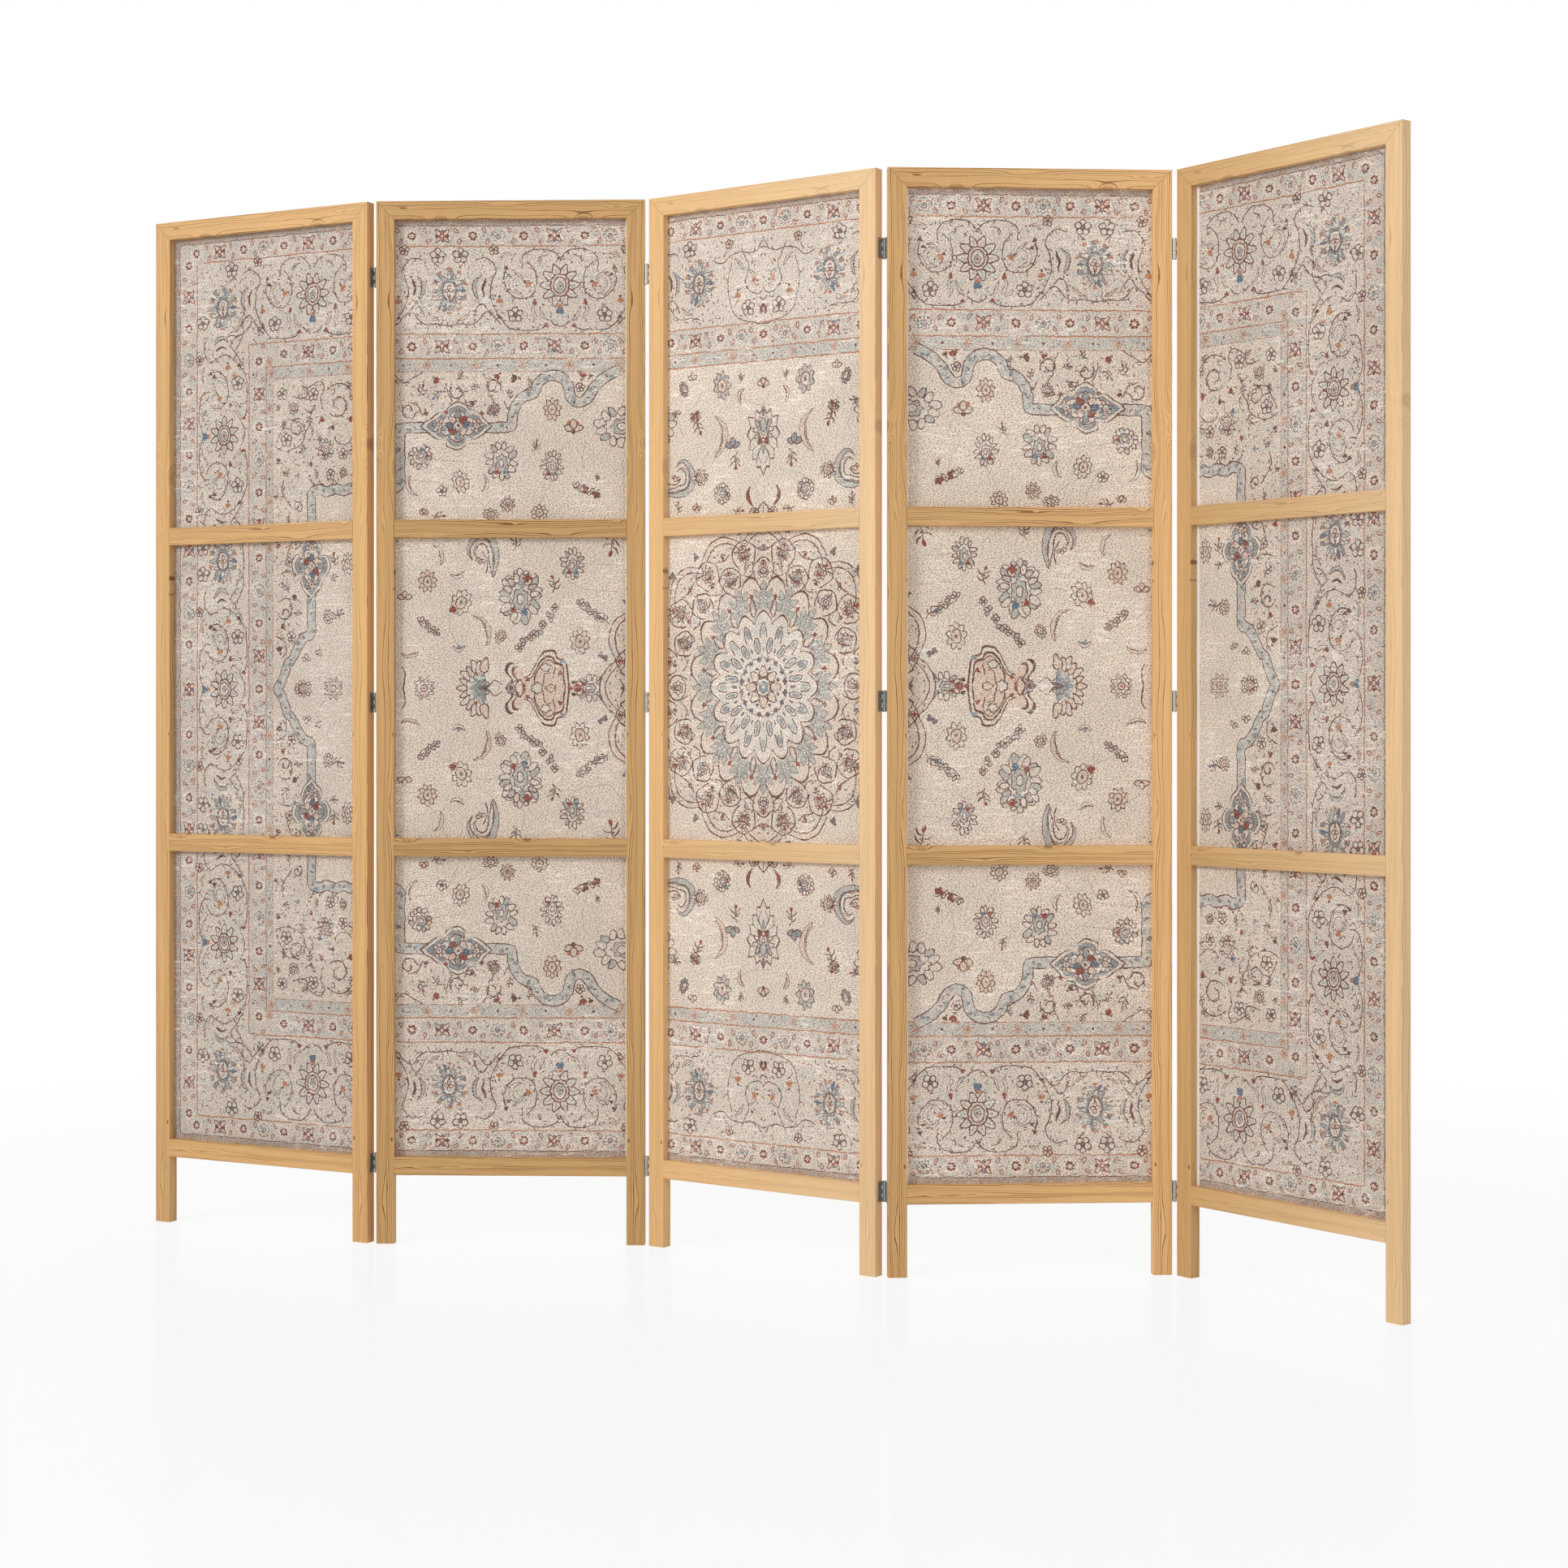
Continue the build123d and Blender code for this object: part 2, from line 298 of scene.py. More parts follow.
class StageSettings(bpy.types.PropertyGroup):
    lens: bpy.props.FloatProperty(
        name="Lens", description="Focal length in millimetres", default=62.5, min=20.0, max=200.0)
    camera_height: bpy.props.FloatProperty(
        name="Camera Height", description="Height of the camera", unit="LENGTH",
        default=0.86, min=0.1, max=3.0)


# Wood


# What bends the grain: place along and across the member, half sizes, how many rings it lifts, core
STILE_MARKS = (
    (30, 24, 44, 4.5, 2.3, 0.0), (165, 19, 42, 5.0, 1.8, 0.0), (400, -2, 26, 10.0, 8.0, 0.35),
    (440, 29, 30, 9.0, 6.0, 0.15), (520, 9, 60, 5.0, 1.5, 0.0), (612, 31, 10, 5.0, 3.0, 0.9),
    (640, 29, 6, 3.0, 1.6, 0.6), (760, 12, 70, 5.0, 1.7, 0.0), (880, 28, 6, 3.0, 1.8, 0.7),
    (1000, 20, 80, 6.0, 2.0, 0.0), (1240, 8, 60, 5.0, 1.7, 0.0), (1548, 26, 9, 4.0, 2.6, 0.9),
    (1420, 19, 50, 5.0, 1.6, 0.0), (1650, 10, 40, 5.0, 1.6, 0.0),
)
GRAIN_MARKS = {
    "left_stile": STILE_MARKS,
    "right_stile": STILE_MARKS,
    "top_rail": (
        (107, -1, 30, 11.0, 8.0, 0.35), (342, -1, 28, 10.0, 7.4, 0.35), (46, 17, 22, 4.0, 2.0, 0.0),
        (398, 17, 22, 4.0, 2.0, 0.0), (205, 22, 60, 5.0, 1.8, 0.0), (250, 8, 40, 4.0, 1.4, 0.0)),
    "upper_mid_rail": (
        (90, 2, 46, 5.0, 2.2, 0.0), (210, 20, 70, 5.0, 1.4, 0.0), (300, 4, 50, 5.0, 1.8, 0.0),
        (385, 17, 1.2, 1.2, 0.6, 1.0), (400, 24, 16, 5.0, 2.0, 0.2)),
    "lower_mid_rail": (
        (250, 29, 18, 10.0, 5.0, 0.6), (52, 25, 22, 6.0, 3.0, 0.25), (31, 17, 3.0, 2.4, 1.2, 1.0),
        (330, 20, 46, 4.0, 2.0, 0.0), (150, 6, 60, 5.0, 1.5, 0.0)),
    "bottom_rail": (
        (120, 12, 90, 3.5, 1.8, 0.0), (320, 18, 80, 4.0, 1.8, 0.0), (215, 4, 40, 4.0, 1.4, 0.0)),
}
# Strength of the ring lines of each frame
LINE_STRENGTHS = (0.75, 1.0, 0.45, 1.0, 0.5)
# Painted light: lightness and paleness of each frame at its left and right edge, standing in for how the
# lamps fall on it
PAINTED_WOOD_LIGHT = ((0.95, 1.03), (0.87, 0.88), (1.12, 1.14), (0.97, 1.22), (0.93, 1.16))
PAINTED_WOOD_PALENESS = ((0.0, 0.0), (0.0, 0.0), (0.08, 0.42), (0.0, 0.08), (0.0, 0.42))
# Painted light: the washed-out colour a frame is made paler towards where the lamps fall on it
PAINTED_LIGHT_WOOD_TINT = srgb(240, 214, 178)
MID_RAIL_LIGHT = 0.92


def wood_material(panel, member, settings):
    """Pine for one member: rings that part round knots and close in tongues, and a fine fibre."""
    look = Look(f"pine_{panel}_{member}")
    x, y, z = look.split(look.object_point(panel))
    down = SCREEN_HEIGHT - z
    if "stile" in member:
        along, across = down, (x if member == "left_stile" else PANEL_WIDTH - x)
    else:
        along, across = x, z - RAIL_LOWS[member]
    seed = 13.0 * ("stile" not in member) * WOOD_MEMBERS.index(member)
    sway = look.noise(look.join(along * 0.0035, across * 0.012, seed), detail=2.0)
    ripple = look.noise(look.join(along * 0.022, across * 0.10, seed + 3.0), detail=2.0)
    phase = across / settings.ring_pitch + y * 0.16 + sway * 8.0 + ripple * 1.3
    cores = 0.0
    for s0, t0, a, b, lift, core in GRAIN_MARKS[member]:
        ds, dt = (along - s0) * (1.0 / a), (across - t0) * (1.0 / b)
        far = 1.0 + ds * ds + dt * dt
        phase = phase + lift / (far * far)
        if core:
            cores = (1.0 - far.ramp(1.03, 1.30)) * core + cores
    wave = phase.f("FRACT")
    weight = look.noise(look.join(along * 0.002, phase.f("FLOOR") * 3.7, seed), detail=1.0)
    edge = wave.ramp(0.40, 0.88) ** 1.2 * (1.0 - wave.ramp(0.92, 1.0))
    line = edge * weight.ramp(0.40, 0.60, 0.12, 1.0)
    fibre = look.noise(look.join(along * 0.025, across * 1.5, y * 1.5), detail=3.0, rough=0.6)
    pore = look.noise(look.join(along * 0.11, across * 3.4, y * 3.4), detail=1.0)
    tone = look.noise(look.join(along * 0.005, across * 0.06, seed + 9.0), detail=2.0)
    line = line * LINE_STRENGTHS[panel - 1]
    colour = look.mix(line, settings.early_colour, settings.late_colour)
    colour = look.mix(cores + line * cores, colour, settings.knot_colour)
    light = 0.70 + fibre * 0.30 + tone * 0.20 + pore * 0.08
    if member in ("left_stile", "right_stile", "top_rail"):
        seam = ((x - down).f("ABSOLUTE")).f("MINIMUM", (PANEL_WIDTH - x - down).f("ABSOLUTE"))
        near_mitre = 1.0 - seam.ramp(0.25, 0.7)
        above_window = 1.0 - down.ramp(MEMBER_WIDTH, MEMBER_WIDTH + 1.0)
        light = light * (1.0 - near_mitre * above_window * 0.45)
    side = x * (1.0 / PANEL_WIDTH)
    (left, right), (dull, pale) = PAINTED_WOOD_LIGHT[panel - 1], PAINTED_WOOD_PALENESS[panel - 1]
    # Painted light: the frame is washed paler from one edge to the other, for how the lamps fall on it
    colour = look.mix(side * (pale - dull) + dull, colour, look.shade(PAINTED_LIGHT_WOOD_TINT, 1.0 - line * 0.4))
    if "mid" in member:
        light = light * MID_RAIL_LIGHT
    # The grain's tone times the painted light of this frame, lighter or darker from edge to edge for how the
    # lamps fall on it
    colour = look.shade(colour, light * (side * (right - left) + left))
    look.finish(Base_Color=colour, Roughness=0.46 + fibre * 0.16, Specular_IOR_Level=0.35)
    look.finish(Normal=look.bump(fibre + line * 0.5, 0.22, 0.0004))
    return look.material


def bead_material(panel, settings):
    """Pine of the beads at the rear, plainer than the frame."""
    look = Look(f"bead_pine_{panel}")
    x, y, z = look.split(look.object_point(panel))
    upright = (x - CLOTH_MIDDLE).f("ABSOLUTE").ramp(191.6, 191.8)
    run = z * upright + x * (1.0 - upright)
    side = x * upright + z * (1.0 - upright)
    wave = look.noise(look.join(run * 0.01, side * 0.5, y * 0.5), detail=3.0)
    fibre = look.noise(look.join(run * 0.03, side * 2.0, y * 2.0), detail=3.0)
    colour = look.mix(wave.ramp(0.35, 0.7), settings.early_colour, settings.late_colour)
    colour = look.shade(colour, 0.9 + fibre * 0.25)
    look.finish(Base_Color=colour, Roughness=0.55 + fibre * 0.15, Normal=look.bump(fibre, 0.2, 0.0003))
    return look.material


def dowel_material():
    """Plain beech of the dowels."""
    look = Look("beech_dowels")
    x, y, z = look.split(look.node("ShaderNodeTexCoord", out="Object"))
    fleck = look.noise(look.join(x * 800.0, y * 800.0, z * 300.0), detail=3.0)
    colour = look.mix(fleck, srgb(214, 176, 132), srgb(186, 140, 96))
    look.finish(Base_Color=colour, Roughness=0.5 + fleck * 0.2)
    return look.material


def zinc_material(name, colour, dark):
    """Plated steel with a dull spangle."""
    look = Look(name)
    point = look.node("ShaderNodeTexCoord", out="Object")
    cloud = look.noise(point, scale=260.0, detail=3.0)
    grain = look.noise(point, scale=2200.0, detail=2.0)
    tint = look.mix(cloud.ramp(0.35, 0.7), colour, tuple(c * dark for c in colour))
    look.finish(Base_Color=tint, Metallic=1.0, Roughness=0.32 + cloud * 0.2 + grain * 0.08)
    look.finish(Normal=look.bump(grain, 0.08, 0.0002))
    return look.material


# Lines the brads follow on the rear of the beads: x and z of both ends
BRAD_LINES = (
    *((x, 160.0, x, 1680.0) for x in (25.15, 418.85)),
    *((50.0, z, 394.0, z) for z in (138.15, 1694.85, 653.67, 1179.33)),
)
BRAD_FLATNESS = 0.35
LEAST_BRAD, MOST_BRAD = 0.9, 1.1
FEWEST_BRAD_FACES = 100


def brad_tree():
    """Geometry nodes that set flat round heads along the edges of a mesh."""
    tree = bpy.data.node_groups.new("brads_along_edges", "GeometryNodeTree")
    sockets = (("Geometry", "Geometry"), ("Radius", "Float"), ("Pitch", "Float"), ("Turn", "Float"),
               ("Seed", "Int"), ("Metal", "Material"))
    keys = {}
    for name, kind in sockets:
        socket = tree.interface.new_socket(name=name, in_out="INPUT", socket_type="NodeSocket" + kind)
        keys[name] = socket.identifier
    tree.interface.new_socket(name="Geometry", in_out="OUTPUT", socket_type="NodeSocketGeometry")
    given = tree.nodes.new("NodeGroupInput")
    result = tree.nodes.new("NodeGroupOutput")

    def add(kind, values, links, **settings):
        node = tree.nodes.new(kind)
        for key, value in settings.items():
            setattr(node, key, value)
        for key, value in values.items():
            node.inputs[key].default_value = value
        for key, source in links.items():
            tree.links.new(source, node.inputs[key])
        return node

    curve = add("GeometryNodeMeshToCurve", {}, {"Mesh": given.outputs["Geometry"]})
    points = add("GeometryNodeCurveToPoints", {}, {"Curve": curve.outputs[0],
                                                   "Length": given.outputs["Pitch"]},
                 mode="LENGTH")
    ball = add("GeometryNodeMeshUVSphere", {"Segments": 10, "Rings": 5}, {"Radius": given.outputs["Radius"]})
    flat = add("GeometryNodeTransform", {"Scale": (1.0, 1.0, BRAD_FLATNESS)}, {"Geometry": ball.outputs[0]})
    lean = add("ShaderNodeCombineXYZ", {"X": math.pi / 2}, {"Z": given.outputs["Turn"]})
    spin = add("FunctionNodeEulerToRotation", {}, {"Euler": lean.outputs[0]})
    size = add("FunctionNodeRandomValue", {2: LEAST_BRAD, 3: MOST_BRAD}, {8: given.outputs["Seed"]},
               data_type="FLOAT")
    links = {"Points": points.outputs[0], "Instance": flat.outputs[0], "Rotation": spin.outputs[0],
             "Scale": size.outputs[1]}
    heads = add("GeometryNodeInstanceOnPoints", {}, links)
    plain = add("GeometryNodeRealizeInstances", {}, {"Geometry": heads.outputs[0]})
    dressed = add("GeometryNodeSetMaterial", {}, {"Geometry": plain.outputs[0],
                                                  "Material": given.outputs["Metal"]})
    tree.links.new(dressed.outputs[0], result.inputs[0])
    return tree, keys


def make_brads(context, panel, tree, keys, metal, settings):
    """The brads of one panel as a plain mesh."""
    verts = []
    for x0, z0, x1, z1 in BRAD_LINES:
        verts += [placed(panel, x0, MEMBER_DEPTH, z0), placed(panel, x1, MEMBER_DEPTH, z1)]
    lines = bpy.data.meshes.new(f"panel_{panel}_brad_lines")
    lines.from_pydata(verts, [(2 * k, 2 * k + 1) for k in range(len(BRAD_LINES))], [])
    guide = bpy.data.objects.new(lines.name, lines)
    context.scene.collection.objects.link(guide)
    modifier = guide.modifiers.new("brads", "NODES")
    modifier.node_group = tree
    values = {"Radius": settings.brad_radius, "Pitch": settings.brad_pitch, "Seed": panel, "Metal": metal,
              "Turn": math.radians(PANEL_YAWS[panel - 1])}
    for name, value in values.items():
        modifier[keys[name]] = value
    mesh = bpy.data.meshes.new_from_object(guide.evaluated_get(context.evaluated_depsgraph_get()))
    mesh.name = f"panel_{panel}_brads"
    bpy.data.objects.remove(guide)
    brads = bpy.data.objects.new(mesh.name, mesh)
    context.scene.collection.objects.link(brads)
    return brads


def dress(name, material):
    """Gives every slot of a CAD node its finish."""
    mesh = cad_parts[name].data
    if not mesh.materials:
        mesh.materials.append(material)
    for i in range(len(mesh.materials)):
        mesh.materials[i] = material


class SCREEN_OT_wood(bpy.types.Operator):
    """Gives the pine members, beads and dowels their grain"""
    bl_idname = "screen.wood"
    bl_label = "Wood"

    def execute(self, context):
        settings = context.scene.screen_wood
        dowels = dowel_material()
        for panel in PANELS:
            for member in WOOD_MEMBERS:
                dress(f"panel_{panel}_{member}", wood_material(panel, member, settings))
            dress(f"panel_{panel}_retaining_beads", bead_material(panel, settings))
            dress(f"panel_{panel}_dowels", dowels)
        return {"FINISHED"}


class SCREEN_OT_hardware(bpy.types.Operator):
    """Gives the hinges and screws their metal"""
    bl_idname = "screen.hardware"
    bl_label = "Hinges and Screws"

    def execute(self, context):
        settings = context.scene.screen_hardware
        zinc = zinc_material("zinc_leaves", tuple(settings.zinc_colour), 0.8)
        steel = zinc_material("steel_screws", tuple(settings.zinc_colour), 0.6)
        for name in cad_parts:
            if "hinge_leaves" in name or "hinge_pins" in name:
                dress(name, zinc)
            elif "hinge_screws" in name:
                dress(name, steel)
        return {"FINISHED"}


class SCREEN_OT_brads(bpy.types.Operator):
    """Sets the brads that hold the beads"""
    bl_idname = "screen.brads"
    bl_label = "Brads"

    def execute(self, context):
        settings = context.scene.screen_hardware
        metal = zinc_material("steel_brads", tuple(settings.zinc_colour), 0.55)
        tree, keys = brad_tree()
        for panel in PANELS:
            brads = make_brads(context, panel, tree, keys, metal, settings)
            if len(brads.data.polygons) < FEWEST_BRAD_FACES:
                raise RuntimeError(f"no brads on panel {panel}")
            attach(brads, f"panel_{panel}")
        return {"FINISHED"}


# Printed cloth: the rug is drawn in millimetres, u from its middle and v down from the screen's top

# Each ink's colour and how strongly it covers
INKS = {
    "maroon": (srgb(104, 54, 42), 0.95), "rust": (srgb(152, 62, 44), 0.95),
    "orange": (srgb(204, 130, 80), 0.9), "blue": (srgb(118, 144, 155), 0.75),
    "deep_blue": (srgb(74, 116, 144), 0.9), "teal": (srgb(172, 184, 181), 0.6),
    "slate": (srgb(98, 88, 92), 0.85), "stem": (srgb(166, 160, 150), 0.5),
    "peach": (srgb(240, 204, 178), 0.5), "violet": (srgb(92, 74, 86), 0.9),
    "pale": (srgb(246, 238, 226), 0.35),
}
# Each ground's colour and how mottled it is
GROUNDS = {
    "field": (srgb(246, 229, 212), 0.14), "border": (srgb(243, 227, 212), 0.35),
    "guard": (srgb(236, 220, 206), 0.55), "roundel": (srgb(248, 233, 218), 0.4),
    "edge": (srgb(198, 176, 160), 0.5), "small_band": (srgb(224, 214, 202), 0.6),
    "bracket": (srgb(224, 214, 203), 0.6), "medallion": (srgb(246, 226, 208), 0.4),
    "spandrel": (srgb(246, 228, 211), 0.35), "pale_ground": (srgb(248, 234, 220), 0.4),
    "margin": (srgb(246, 245, 243), 0.0),
}
# Painted light: lightness of each cloth, for how the lamps fall on its panel
PAINTED_CLOTH_LIGHT = (0.87, 0.98, 1.05, 1.09, 0.97)
RUG_PITCH = 393.0
RUG_MIDDLE = 803.5
# The drawn quarter runs a little past the rug's middle lines
END_U, END_V = 40.0, 850.0
# Left and top edge of each stripe of the border, and its ground
STRIPES = (
    (-966.0, 39.0, "guard"), (-928.0, 73.0, "border"), (-817.5, 218.5, "guard"),
    (-781.0, 259.0, "small_band"), (-766.5, 281.0, "field"),
)
POINT_STEP = 3.8
SLOW_SHAKE, FAST_SHAKE = 1.7, 0.8


def smooth(points, step=POINT_STEP):
    """A curve through the points, in steps of about that length."""
    pts, out = [Vector(p) for p in points], []
    for i in range(len(pts) - 1):
        a, b, c, d = pts[max(i - 1, 0)], pts[i], pts[i + 1], pts[min(i + 2, len(pts) - 1)]
        count = max(1, round((c - b).length / step))
        pull, bend, twist = c - a, 2 * a - 5 * b + 4 * c - d, 3 * b - 3 * c + d - a
        for k in range(count):
            t = k / count
            out.append(b + 0.5 * t * (pull + t * (bend + t * twist)))
    return out + pts[-1:]


def rolled(u, v, t, x, y):
    """The point x, y of a shape that stands at u, v and is turned clockwise by t."""
    return u + x * math.cos(t) - y * math.sin(t), v + x * math.sin(t) + y * math.cos(t)


def away(u, v, a, across, up=None, share=1.0):
    """The point at an angle a, clockwise from the top, on an oval round u, v."""
    return u + math.sin(a) * across * share, v - math.cos(a) * (across if up is None else up) * share


class Rug:
    """The flat shapes of the print in painter's order."""

    def __init__(self):
        self.shapes = []

    def fill(self, points, ink, wobble=1.0):
        """A closed patch, shaken a little as knots are."""
        pts = []
        for p in points:
            slow = noise.noise_vector(Vector((p[0] / 9.0, p[1] / 9.0, 2.0)))
            fast = noise.noise_vector(Vector((p[0] / 3.2, p[1] / 3.2, 5.0)))
            pts.append((p[0] + (slow.x * SLOW_SHAKE + fast.x * FAST_SHAKE) * wobble,
                        p[1] + (slow.y * SLOW_SHAKE + fast.y * FAST_SHAKE) * wobble))
        area = sum(a[0] * b[1] - b[0] * a[1] for a, b in zip(pts, pts[1:] + pts[:1]))
        if abs(area) > 0.4:
            self.shapes.append((pts if area > 0 else pts[::-1], ink))

    def ground(self, u0, u1, v0, v1, name):
        """A plain box of ground."""
        self.fill([(u0, v0), (u1, v0), (u1, v1), (u0, v1)], name, wobble=0.0)

    def stroke(self, points, width=1.6, ink="maroon", taper=0.0):
        """A line of uneven width through close points."""
        n, left, right = len(points), [], []
        for i, p in enumerate(points):
            way = points[min(i + 1, n - 1)] - points[max(i - 1, 0)]
            if way.length < 1e-6:
                continue
            side = Vector((-way.y, way.x)).normalized()
            thin = 1.0 - taper * abs(2.0 * i / max(n - 1, 1) - 1.0) ** 2
            uneven = min(0.5, 0.9 / width)
            half = width / 2 * thin * (1.0 + uneven * noise.noise(Vector((p.x * 0.23, p.y * 0.23, 7.0))))
            left.append(p + side * half)
            right.append(p - side * half)
        for i in range(0, len(left) - 1, 5):
            self.fill(left[i:i + 6] + right[i:i + 6][::-1], ink)

    def path(self, points, width=1.6, ink="maroon", taper=0.0):
        """A line of uneven width on a curve through the points."""
        self.stroke(smooth(points), width, ink, taper)

    def vine(self, points, width=1.7, taper=0.0):
        """A drawn stem with hooked leaflets on alternate sides."""
        pts = smooth(points)
        self.stroke(pts, width, "maroon", taper)
        for k in range(3, len(pts) - 2, 4):
            way = (pts[k + 1] - pts[k - 1]).normalized()
            side = Vector((-way.y, way.x)) * (1 if (k // 4) % 2 else -1)
            p = pts[k]
            self.stroke([p, p + side * 3.2 + way * 1.2, p + side * 4.6 + way * 4.4], 1.7, taper=0.5)

    def polar(self, u, v, rx, ry, lobes=0, depth=0.0, turn=0.0, sharp=False):
        """Points of a round shape with lobes or teeth."""
        count = max(9, int(rx + ry), lobes * (4 if sharp else 5))
        pts, t = [], math.radians(turn)
        for k in range(count):
            a = math.tau * k / count
            r = 1.0 + depth * math.cos(lobes * a)
            if sharp:
                wave = 1.0 - 2.0 * abs((lobes * k / count % 1.0) * 2.0 - 1.0)
                stir = Vector((u * 0.31 + 2.1 * math.sin(a), v * 0.31 + 2.1 * math.cos(a), 3.0))
                r = 1.0 + depth * wave + 0.13 * noise.noise(stir)
            pts.append(rolled(u, v, t, rx * r * math.sin(a), -ry * r * math.cos(a)))
        return pts

    def patch(self, u, v, rx, ry, ink, **form):
        """A filled round shape."""
        self.fill(self.polar(u, v, rx, ry, **form), ink)

    def ringed(self, u, v, rx, ry, inner, ink="maroon", line=1.8, **form):
        """A patch with a line round it."""
        self.patch(u, v, rx + line / 2, ry + line / 2, ink, **form)
        if min(rx, ry) > line * 0.8:
            self.patch(u, v, rx - line / 2, ry - line / 2, inner, **form)

    def flower(self, u, v, r, petals=5, inner="pale", core="slate", ink="maroon", turn=0.0):
        """Round petals about a core."""
        for k in range(petals):
            a = math.tau * k / petals + math.radians(turn)
            self.ringed(*away(u, v, a, r, share=0.6), r * 0.4, r * 0.4, inner, ink)
        self.ringed(u, v, r * 0.28, r * 0.28, core, ink, line=1.6)

    def daisy(self, u, v, rx, ry, petals=9, inner="pale", core="peach", turn=0.0):
        """An oval blossom: a lobed rim, a ring within and an oval core."""
        self.ringed(u, v, rx * 0.86, ry * 0.86, inner, lobes=petals, depth=0.13, turn=turn)
        self.spokes(u, v, rx, ry, petals, 0.55, 0.8, turn=turn)
        self.ringed(u, v, rx * 0.46, ry * 0.46, core, lobes=petals, depth=0.06, turn=turn)
        self.patch(u, v, rx * 0.14, ry * 0.16, "slate")

    def spokes(self, u, v, rx, ry, count, near, far, ink="maroon", turn=0.0, width=1.4):
        """Short lines that part the petals of a blossom."""
        t = math.radians(turn)
        for k in range(count):
            a = math.tau * (k + 0.5) / count
            ends = [rolled(u, v, t, rx * s * math.sin(a), -ry * s * math.cos(a)) for s in (near, far)]
            self.stroke([Vector(end) for end in ends], width, ink)

    def wreath(self, u, v, rx, ry, count, size, paints, turn=0.0, ink="maroon", line=1.6):
        """Pointed petals set round an oval, no two quite alike."""
        t = math.radians(turn)
        for k in range(count):
            lean = 360.0 * (k + 0.5) / count
            a = math.radians(lean)
            pu, pv = rolled(u, v, t, rx * math.sin(a), -ry * math.cos(a))
            grow = 1.0 + 0.35 * noise.noise(Vector((pu * 0.37, pv * 0.37, 1.0)))
            lean += 26.0 * (k % 2) - 13.0
            self.ringed(pu, pv, size[0] * grow, size[1] * grow, paints[k % len(paints)], ink, line=line,
                        turn=turn + lean, lobes=2, depth=0.16)

    def palmette(self, u, v, rx, ry, turn=0.0, teeth=13, inner="pale", core="peach"):
        """A lotus of pointed petals with a smaller one in it, its tip towards turn."""
        petal = (rx * 0.21, ry * 0.26)
        self.wreath(u, v, rx * 0.68, ry * 0.7, teeth, petal, (inner, "pale", core), turn)
        self.ringed(u, v, rx * 0.56, ry * 0.58, inner, lobes=teeth, depth=0.08, turn=turn)
        cu, cv = away(u, v, math.radians(turn), -ry, share=0.1)
        self.ringed(cu, cv, rx * 0.38, ry * 0.4, core, line=1.6, lobes=7, depth=0.12, turn=turn)
        self.ringed(cu, cv, rx * 0.17, ry * 0.2, "pale", line=1.4, turn=turn)
        for lean, heart in ((-28.0, "deep_blue"), (30.0, "rust")):
            spot = away(u, v, math.radians(turn + lean), -rx, -ry, 0.6)
            self.patch(*spot, rx * 0.16, ry * 0.14, heart, lobes=3, depth=0.25, turn=turn)

    def leaf(self, points, width, inner="pale", teeth=0, side=1, line=1.9):
        """A leaf along a spine, feathered on one side."""
        spine = smooth(points, step=2.6 if teeth else POINT_STEP)
        n = len(spine)
        for inset, paint in ((0.0, "maroon"), (line, inner)):
            if inset and width < 2.6 * line:
                continue
            left, right = [], []
            for i, p in enumerate(spine):
                way = spine[min(i + 1, n - 1)] - spine[max(i - 1, 0)]
                if way.length < 1e-6:
                    continue
                normal = Vector((-way.y, way.x)).normalized() * side
                share = i / (n - 1)
                swell = math.sin(math.pi * min(1.0, share * 0.96 + 0.04)) ** 0.8
                half = max(0.0, swell * width / 2 - inset * 0.5)
                comb = (i % 2) * 2.0 * swell if teeth and inset == 0.0 else 0.0
                left.append(p + normal * (half + comb))
                right.append(p - normal * half)
            lift = 1 if inset else 0
            self.fill(left[lift:n - lift] + right[lift:n - lift][::-1], paint)

    def bud(self, u, v, r, turn=0.0, ink="orange", leaves="maroon"):
        """A small tulip bud."""
        for lean in (turn - 38.0, turn + 38.0, turn):
            self.patch(*away(u, v, math.radians(lean), r, share=0.5), r * 0.3, r * 0.62, ink, turn=lean)
        self.patch(*away(u, v, math.radians(turn), -r, share=0.45), r * 0.3, r * 0.26, leaves)

    def trefoil(self, u, v, r, turn=0.0, inner="pale"):
        """Three petals from one foot."""
        for lean in (turn - 70.0, turn + 70.0, turn):
            spot = away(u, v, math.radians(lean), r, share=0.55)
            self.ringed(*spot, r * 0.36, r * 0.5, inner, line=1.7, turn=lean)

    def sprig(self, u, v, r, turn=0.0):
        """A bent twig with hooked leaves and a bud at its tip."""
        t = math.radians(turn)

        def at(x, y):
            return (u + r * (x * math.cos(t) - y * math.sin(t)), v + r * (x * math.sin(t) + y * math.cos(t)))

        self.path([at(-0.25, 0.95), at(0.12, 0.2), at(-0.05, -0.6)], 1.7)
        for x, y, hand in ((0.0, 0.55, 1), (0.1, 0.3, -1), (0.06, -0.1, 1), (0.0, -0.25, -1)):
            self.path([at(x, y), at(x + 0.4 * hand, y - 0.1), at(x + 0.72 * hand, y - 0.5)], 2.1, taper=0.7)
        tip = "deep_blue" if int(u + v) % 3 == 0 else "rust"
        self.patch(*at(-0.08, -0.85), r * 0.2, r * 0.3, tip, turn=turn)

    def hook(self, u, v, length, turn, ink="maroon"):
        """A small bent stroke."""
        a, b, width = math.radians(turn), math.radians(turn + 50.0), 1.9
        mu, mv = away(u, v, a, length, share=0.5)
        su, sv = math.cos(a) * width * 0.6, math.sin(a) * width * 0.6
        self.fill([(u, v), (mu + su, mv + sv), away(mu, mv, b, length, share=0.5), (mu - su, mv - sv)], ink)

